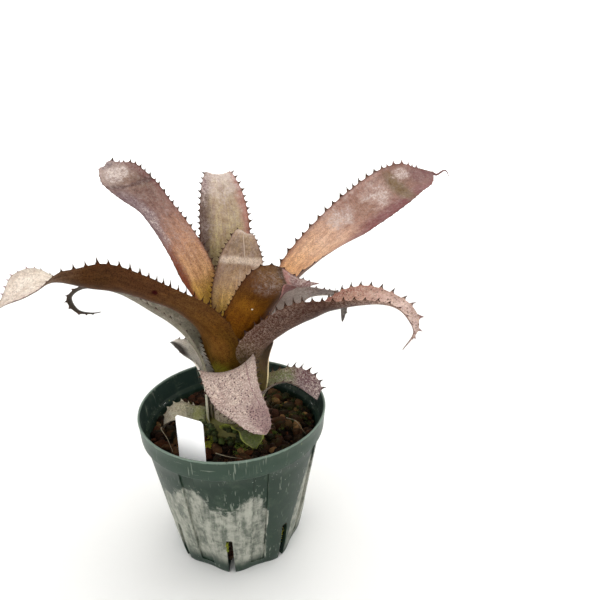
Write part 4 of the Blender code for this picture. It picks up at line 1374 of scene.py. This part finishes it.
        azimuth=-81, ring=13.2, sheath=60, angle=42,
        path=((13, 100.5), (16, 114.5, -1), (25.5, 121, -1), (33, 117, 1.5), (38, 106.5, 9),
              (41.5, 94, 15)),
        widths=((0.24, 11.5), (0.36, 14), (0.5, 15.5), (0.7, 13.5), (0.88, 9.5), (0.95, 6)),
        rolls=((0, 0), (0.24, 4), (0.48, 13), (0.6, 10), (0.8, 27), (1, 20)),
        pitch=(3.0, 2.4), tooth=1.5, scallop=0.35, splay=(1.0, 0.8),
        look=MOTTLED | dict(
            upper=((0.0, "8c8c60"), (0.3, "8c7c70"), (0.6, "946e6c"), (1.0, "8a606a")), margin=0.2,
            patches_upper=((0.88, 0.22, 0.4, 1.0, 0.6, "6c404c"), (0.35, 0.1, 0.0, 1.0, 0.3, "8c9078")),
            lines=(((0.4, 0.66), (0.86, 0.5), 0.035, 0.5, "6c3848"),),
            silver_ovals_upper=((0.45, 0.06, 0.0, 1.4, 0.2), (0.9, 0.18, 0.4, 1.1, -0.42)))),
    "leaf_right_rear": dict(
        azimuth=26, ring=13.2, angle=45,
        path=((18, 100.5, -1.5), (20.5, 118), (29, 133.5, 1.5), (43.5, 143, 3), (58.5, 144),
              (67.5, 139.5, -3), (67, 127, -6)),
        widths=((0.12, 12), (0.36, 10.5), (0.48, 12), (0.6, 12.5), (0.7, 7.2), (0.8, 4.6), (0.88, 5),
                (0.94, 2.8)),
        rolls=((0, 0), (0.12, 13), (0.36, 14), (0.48, -23), (0.6, 9), (0.8, 3), (0.88, 30), (0.94, 75),
               (1, 80)),
        pitch=(4.2, 3.6), tooth=1.2, scallop=0.3,
        look=GREY | dict(
            upper=((0.0, "c0bc50"), (0.25, "c8a878"), (0.4, "9c8270"), (0.62, "c4b8b0"), (0.72, "7c6c66"),
                   (0.92, "4c4440"), (1.0, "3c3430")),
            # The under face's pale yellow foot is made brighter than its own colour as painted light, against
            # the shade it lies in.
            under=((0.0, "f0e880"), (0.15, "fff0b4"), (0.24, "f4dca8"), (0.32, "d0b08c"),
                   (0.42, "907464"), (0.7, "7c6e66"), (0.92, "4c4440"), (1.0, "3c3430")),
            silver_upper=((0.0, 0.1), (0.4, 0.3), (0.55, 0.8), (0.64, 0.8), (0.74, 0.3), (0.9, 0.1)),
            silver_under=((0.0, 0.05), (0.3, 0.15), (0.6, 0.8), (1.0, 0.3)), silver="f0e6e4",
            flecked=0.85, pores=0.2, mottle=0.1, net=0.35, stripes=0.15, margin=0.0, edge_strength=0.0)),
    "leaf_left_rear": dict(
        azimuth=172, ring=13.2, angle=46,
        path=((14, 101), (18, 118, -0.5), (28.5, 132, -0.5), (43.5, 142, -0.5), (59, 150, -1),
              (72, 153, -0.5), (82, 152.5), (89.5, 146.5), (87, 139.5, -0.5), (80, 138, -1), (72, 139.5)),
        widths=((0.24, 12), (0.36, 12.5), (0.48, 12), (0.6, 10), (0.7, 7), (0.8, 3.4), (0.9, 1.8)),
        rolls=((0, 0), (0.24, 7), (0.42, 18), (0.6, 18), (0.8, 4), (1, 0)),
        pitch=(4.8, 4.0), tooth=1.8, scallop=0.3,
        look=GREY | dict(
            upper=((0.0, "8a8860"), (0.15, "a8a488"), (0.3, "6c6a54"), (0.6, "6e6c58"), (0.75, "4c443a"),
                   (1.0, "2c221c")),
            under=((0.0, "8a8860"), (0.3, "686650"), (0.6, "605c4c"), (0.75, "40362c"), (1.0, "241a14")),
            # The first oval is a pale cream band made brighter as painted light against the shade of the leaf
            # in front; the near-black third oval is painted shade.
            patches_upper=((0.19, 0.08, -0.4, 0.9, 1.0, "fffcf0"), (0.28, 0.03, 0.8, 0.5, 0.9, "e0dac4"),
                           (0.265, 0.03, -0.8, 0.35, 1.0, "1c100a")),
            marks=0.75, stripes=0.25, net=0.25, mottle=0.15, pores=0.4,
            silver_upper=((0.0, 0.3), (0.24, 0.1), (0.3, 0.1), (0.36, 0.5), (0.6, 0.6), (0.75, 0.1)),
            silver_under=((0.0, 0.3), (0.6, 0.4), (0.75, 0.05)))),
    "leaf_left_short": dict(
        azimuth=168, ring=15.0, angle=34,
        path=((16, 98), (20, 109.5), (26, 117.5), (32, 122), (35.5, 121.5, -3)),
        widths=((0.24, 11.5), (0.36, 9.5), (0.6, 9), (0.8, 7), (0.88, 5)),
        rolls=((0, 0), (0.24, 2), (0.6, 17), (0.8, -6), (1, 0)),
        pitch=(3.6, 3.0), tooth=2.0, scallop=0.3,
        look=GREY | dict(
            upper=SHORT_LEAF_GROUND, under=SHORT_LEAF_GROUND, patches_upper=(SHORT_LEAF_SHADE,),
            patches_under=(SHORT_LEAF_SHADE,), silver_upper=((0.0, 0.2), (0.5, 0.1)),
            silver_under=((0.0, 0.2), (0.5, 0.1)), net=0.1, pores=0.25, mottle=0.1, stripes=0.2)),
    "leaf_right_low": dict(
        azimuth=6, ring=15.0, angle=38,
        path=((16, 90), (20.5, 97.5, -0.5), (29.5, 100.5), (39, 98), (46, 93.5, -1), (48.5, 87.5, -1)),
        widths=((0.24, 11.5), (0.48, 10), (0.6, 11), (0.8, 8.5), (0.92, 5.5), (0.97, 3)),
        rolls=((0, 0), (0.24, 1), (0.48, -8), (0.8, 22), (0.9, 31), (1, 22)),
        pitch=(3.6, 3.2), tooth=3.2, scallop=0.4,
        look=MOTTLED | dict(
            upper=((0.0, "a0a490"), (0.3, "8c9074"), (0.42, "64703c"), (0.58, "70744c"), (0.68, "5c3c44"),
                   (1.0, "50323c")),
            patches_upper=((0.52, 0.14, 0.1, 1.6, 0.7, "60703a"), (0.75, 0.14, 0.6, 0.6, 0.6, "5c2c38")),
            silver_upper=((0.0, 0.05), (0.4, 0.15), (0.6, 0.4), (1.0, 0.6)), silver="e4d8d0", net=0.5,
            flecked=0.95, patchy=0.8)),
    "leaf_front_stub": dict(
        azimuth=-64, ring=16.8, angle=44,
        path=((18.5, 82), (24, 84.5), (30, 83), (33.5, 79)),
        widths=((0.12, 13.5), (0.36, 8.5), (0.6, 8.5), (0.8, 6)),
        rolls=((0, 0), (1, 0)),
        pitch=(4.0, 4.0), tooth=0.4, scallop=0.1, wave=2.2, wave_step=5.0,
        look=GREY | dict(
            upper=STUB_GROUND, under=STUB_GROUND, edge="a4b048", edge_strength=0.9, edge_from=0.7,
            silver_upper=((0.0, 0.05), (1.0, 0.15)), silver_under=((0.0, 0.05), (1.0, 0.15)), net=0.1,
            margin=0.0)),
    "leaf_left_low": dict(
        azimuth=-172, ring=16.8, sheath=28, angle=38,
        path=((18.5, 80), (22.5, 80.5), (28, 82), (33.5, 81.5), (38, 78), (40, 74)),
        widths=((0.3, 8.5), (0.5, 10), (0.75, 8.5), (0.92, 4)),
        rolls=((0, 0), (1, 0)),
        pitch=(3.4, 3.0), tooth=1.8, scallop=0.3,
        look=GREY | dict(
            upper=((0.0, "6c7640"), (0.3, "8c9068"), (0.5, "b8b294"), (1.0, "ccc4b0")), silver="e8e4d6",
            patches_upper=((0.3, 0.12, 0.1, 0.6, 0.4, "5c5c30"), (0.15, 0.15, 0.0, 1.4, 0.8, "8c9048")),
            dots=0.8, dot="4c4a34", spine="b4ac98", tip_spine="b4ac98")),
    "leaf_rear_low": dict(
        azimuth=88, ring=16.8, angle=38,
        path=((17.5, 91), (21, 101), (30, 106), (39, 101), (45, 92)),
        widths=((0.24, 13), (0.48, 11), (0.7, 9.5), (0.88, 4.5)),
        rolls=((0, 0), (1, 0)),
        pitch=(3.6, 3.2), tooth=1.6, scallop=0.3,
        look=MOTTLED),
}


# Room, light and camera


def make_floor():
    """A pale floor that curves up all round, turned as one open shell."""
    profile = [(0, 0), (0.25, 0), (0.6, 0), (FLOOR_RADIUS, 0)]
    for index in range(1, COVE_STEPS + 1):
        turn = math.pi / 2 * index / COVE_STEPS
        profile.append((FLOOR_RADIUS + COVE_RADIUS * math.sin(turn), COVE_RADIUS * (1 - math.cos(turn))))
    profile.append((FLOOR_RADIUS + COVE_RADIUS, COVE_TOP))
    floor = add_object("floor", turned(profile, FLOOR_SIDES))
    floor.data.shade_smooth()
    f = Finish("pale_floor", {"Specular IOR Level": 0.1, "Emission Strength": FLOOR_GLOW})
    faint = f.cloud(3.0, 2.0)
    x, y, _ = f.axes()
    away = f.step(0.3, FLOOR_RADIUS, f.math("SQRT", x * x + y * y))
    glow = f.mix(away, "000000", "ffffff")
    f.tree.links.new(glow.socket, f.shader.inputs["Emission Color"])
    f.colour = f.mix(faint, "f4f4f3", "f7f7f6")
    floor.data.materials.append(f.done(0.9 + 0.05 * faint))


def make_light(name, place, size, power, colour=(1, 1, 1)):
    """A round soft light that looks at the middle of the plant."""
    target = Vector((0, 0, 0.1))
    data = bpy.data.lights.new(name, "AREA")
    data.shape = "DISK"
    data.size = size
    data.energy = power
    data.color = colour
    light = bpy.data.objects.new(name, data)
    light.location = place
    light.rotation_euler = (target - Vector(place)).to_track_quat("-Z", "Y").to_euler()
    bpy.context.scene.collection.objects.link(light)


def make_room():
    make_floor()
    make_light("soft_top", (0.1, 0.25, 1.1), 0.9, 5.5, (1.0, 0.98, 0.94))
    make_light("soft_front", (-0.7, -0.9, 0.9), 0.8, 1.2, (1.0, 0.985, 0.96))
    make_light("soft_right", (0.95, 0.1, 0.6), 0.5, 0.6)
    world = bpy.data.worlds.new("studio")
    world.use_nodes = True
    background = world.node_tree.nodes["Background"]
    background.inputs["Color"].default_value = (1.0, 1.0, 1.0, 1.0)
    background.inputs["Strength"].default_value = WORLD_LIGHT
    bpy.context.scene.world = world
    bpy.context.scene.view_settings.view_transform = "Standard"


def make_camera():
    data = bpy.data.cameras.new("camera")
    data.sensor_width = SENSOR_WIDTH
    data.lens = CAMERA_LENS
    data.clip_start = 0.01
    camera = bpy.data.objects.new("camera", data)
    camera.location = CAMERA_PLACE
    camera.rotation_euler = (math.radians(CAMERA_TILT), 0, 0)
    bpy.context.scene.collection.objects.link(camera)
    bpy.context.scene.camera = camera


make_camera()
make_room()
make_pot()
make_soil()
make_moss()
dress_stem()
make_label()
for number, (leaf_name, leaf_data) in enumerate(LEAVES.items()):
    make_leaf(leaf_name, PLAIN_LEAF | leaf_data, number + 1)

bpy.context.view_layer.update()
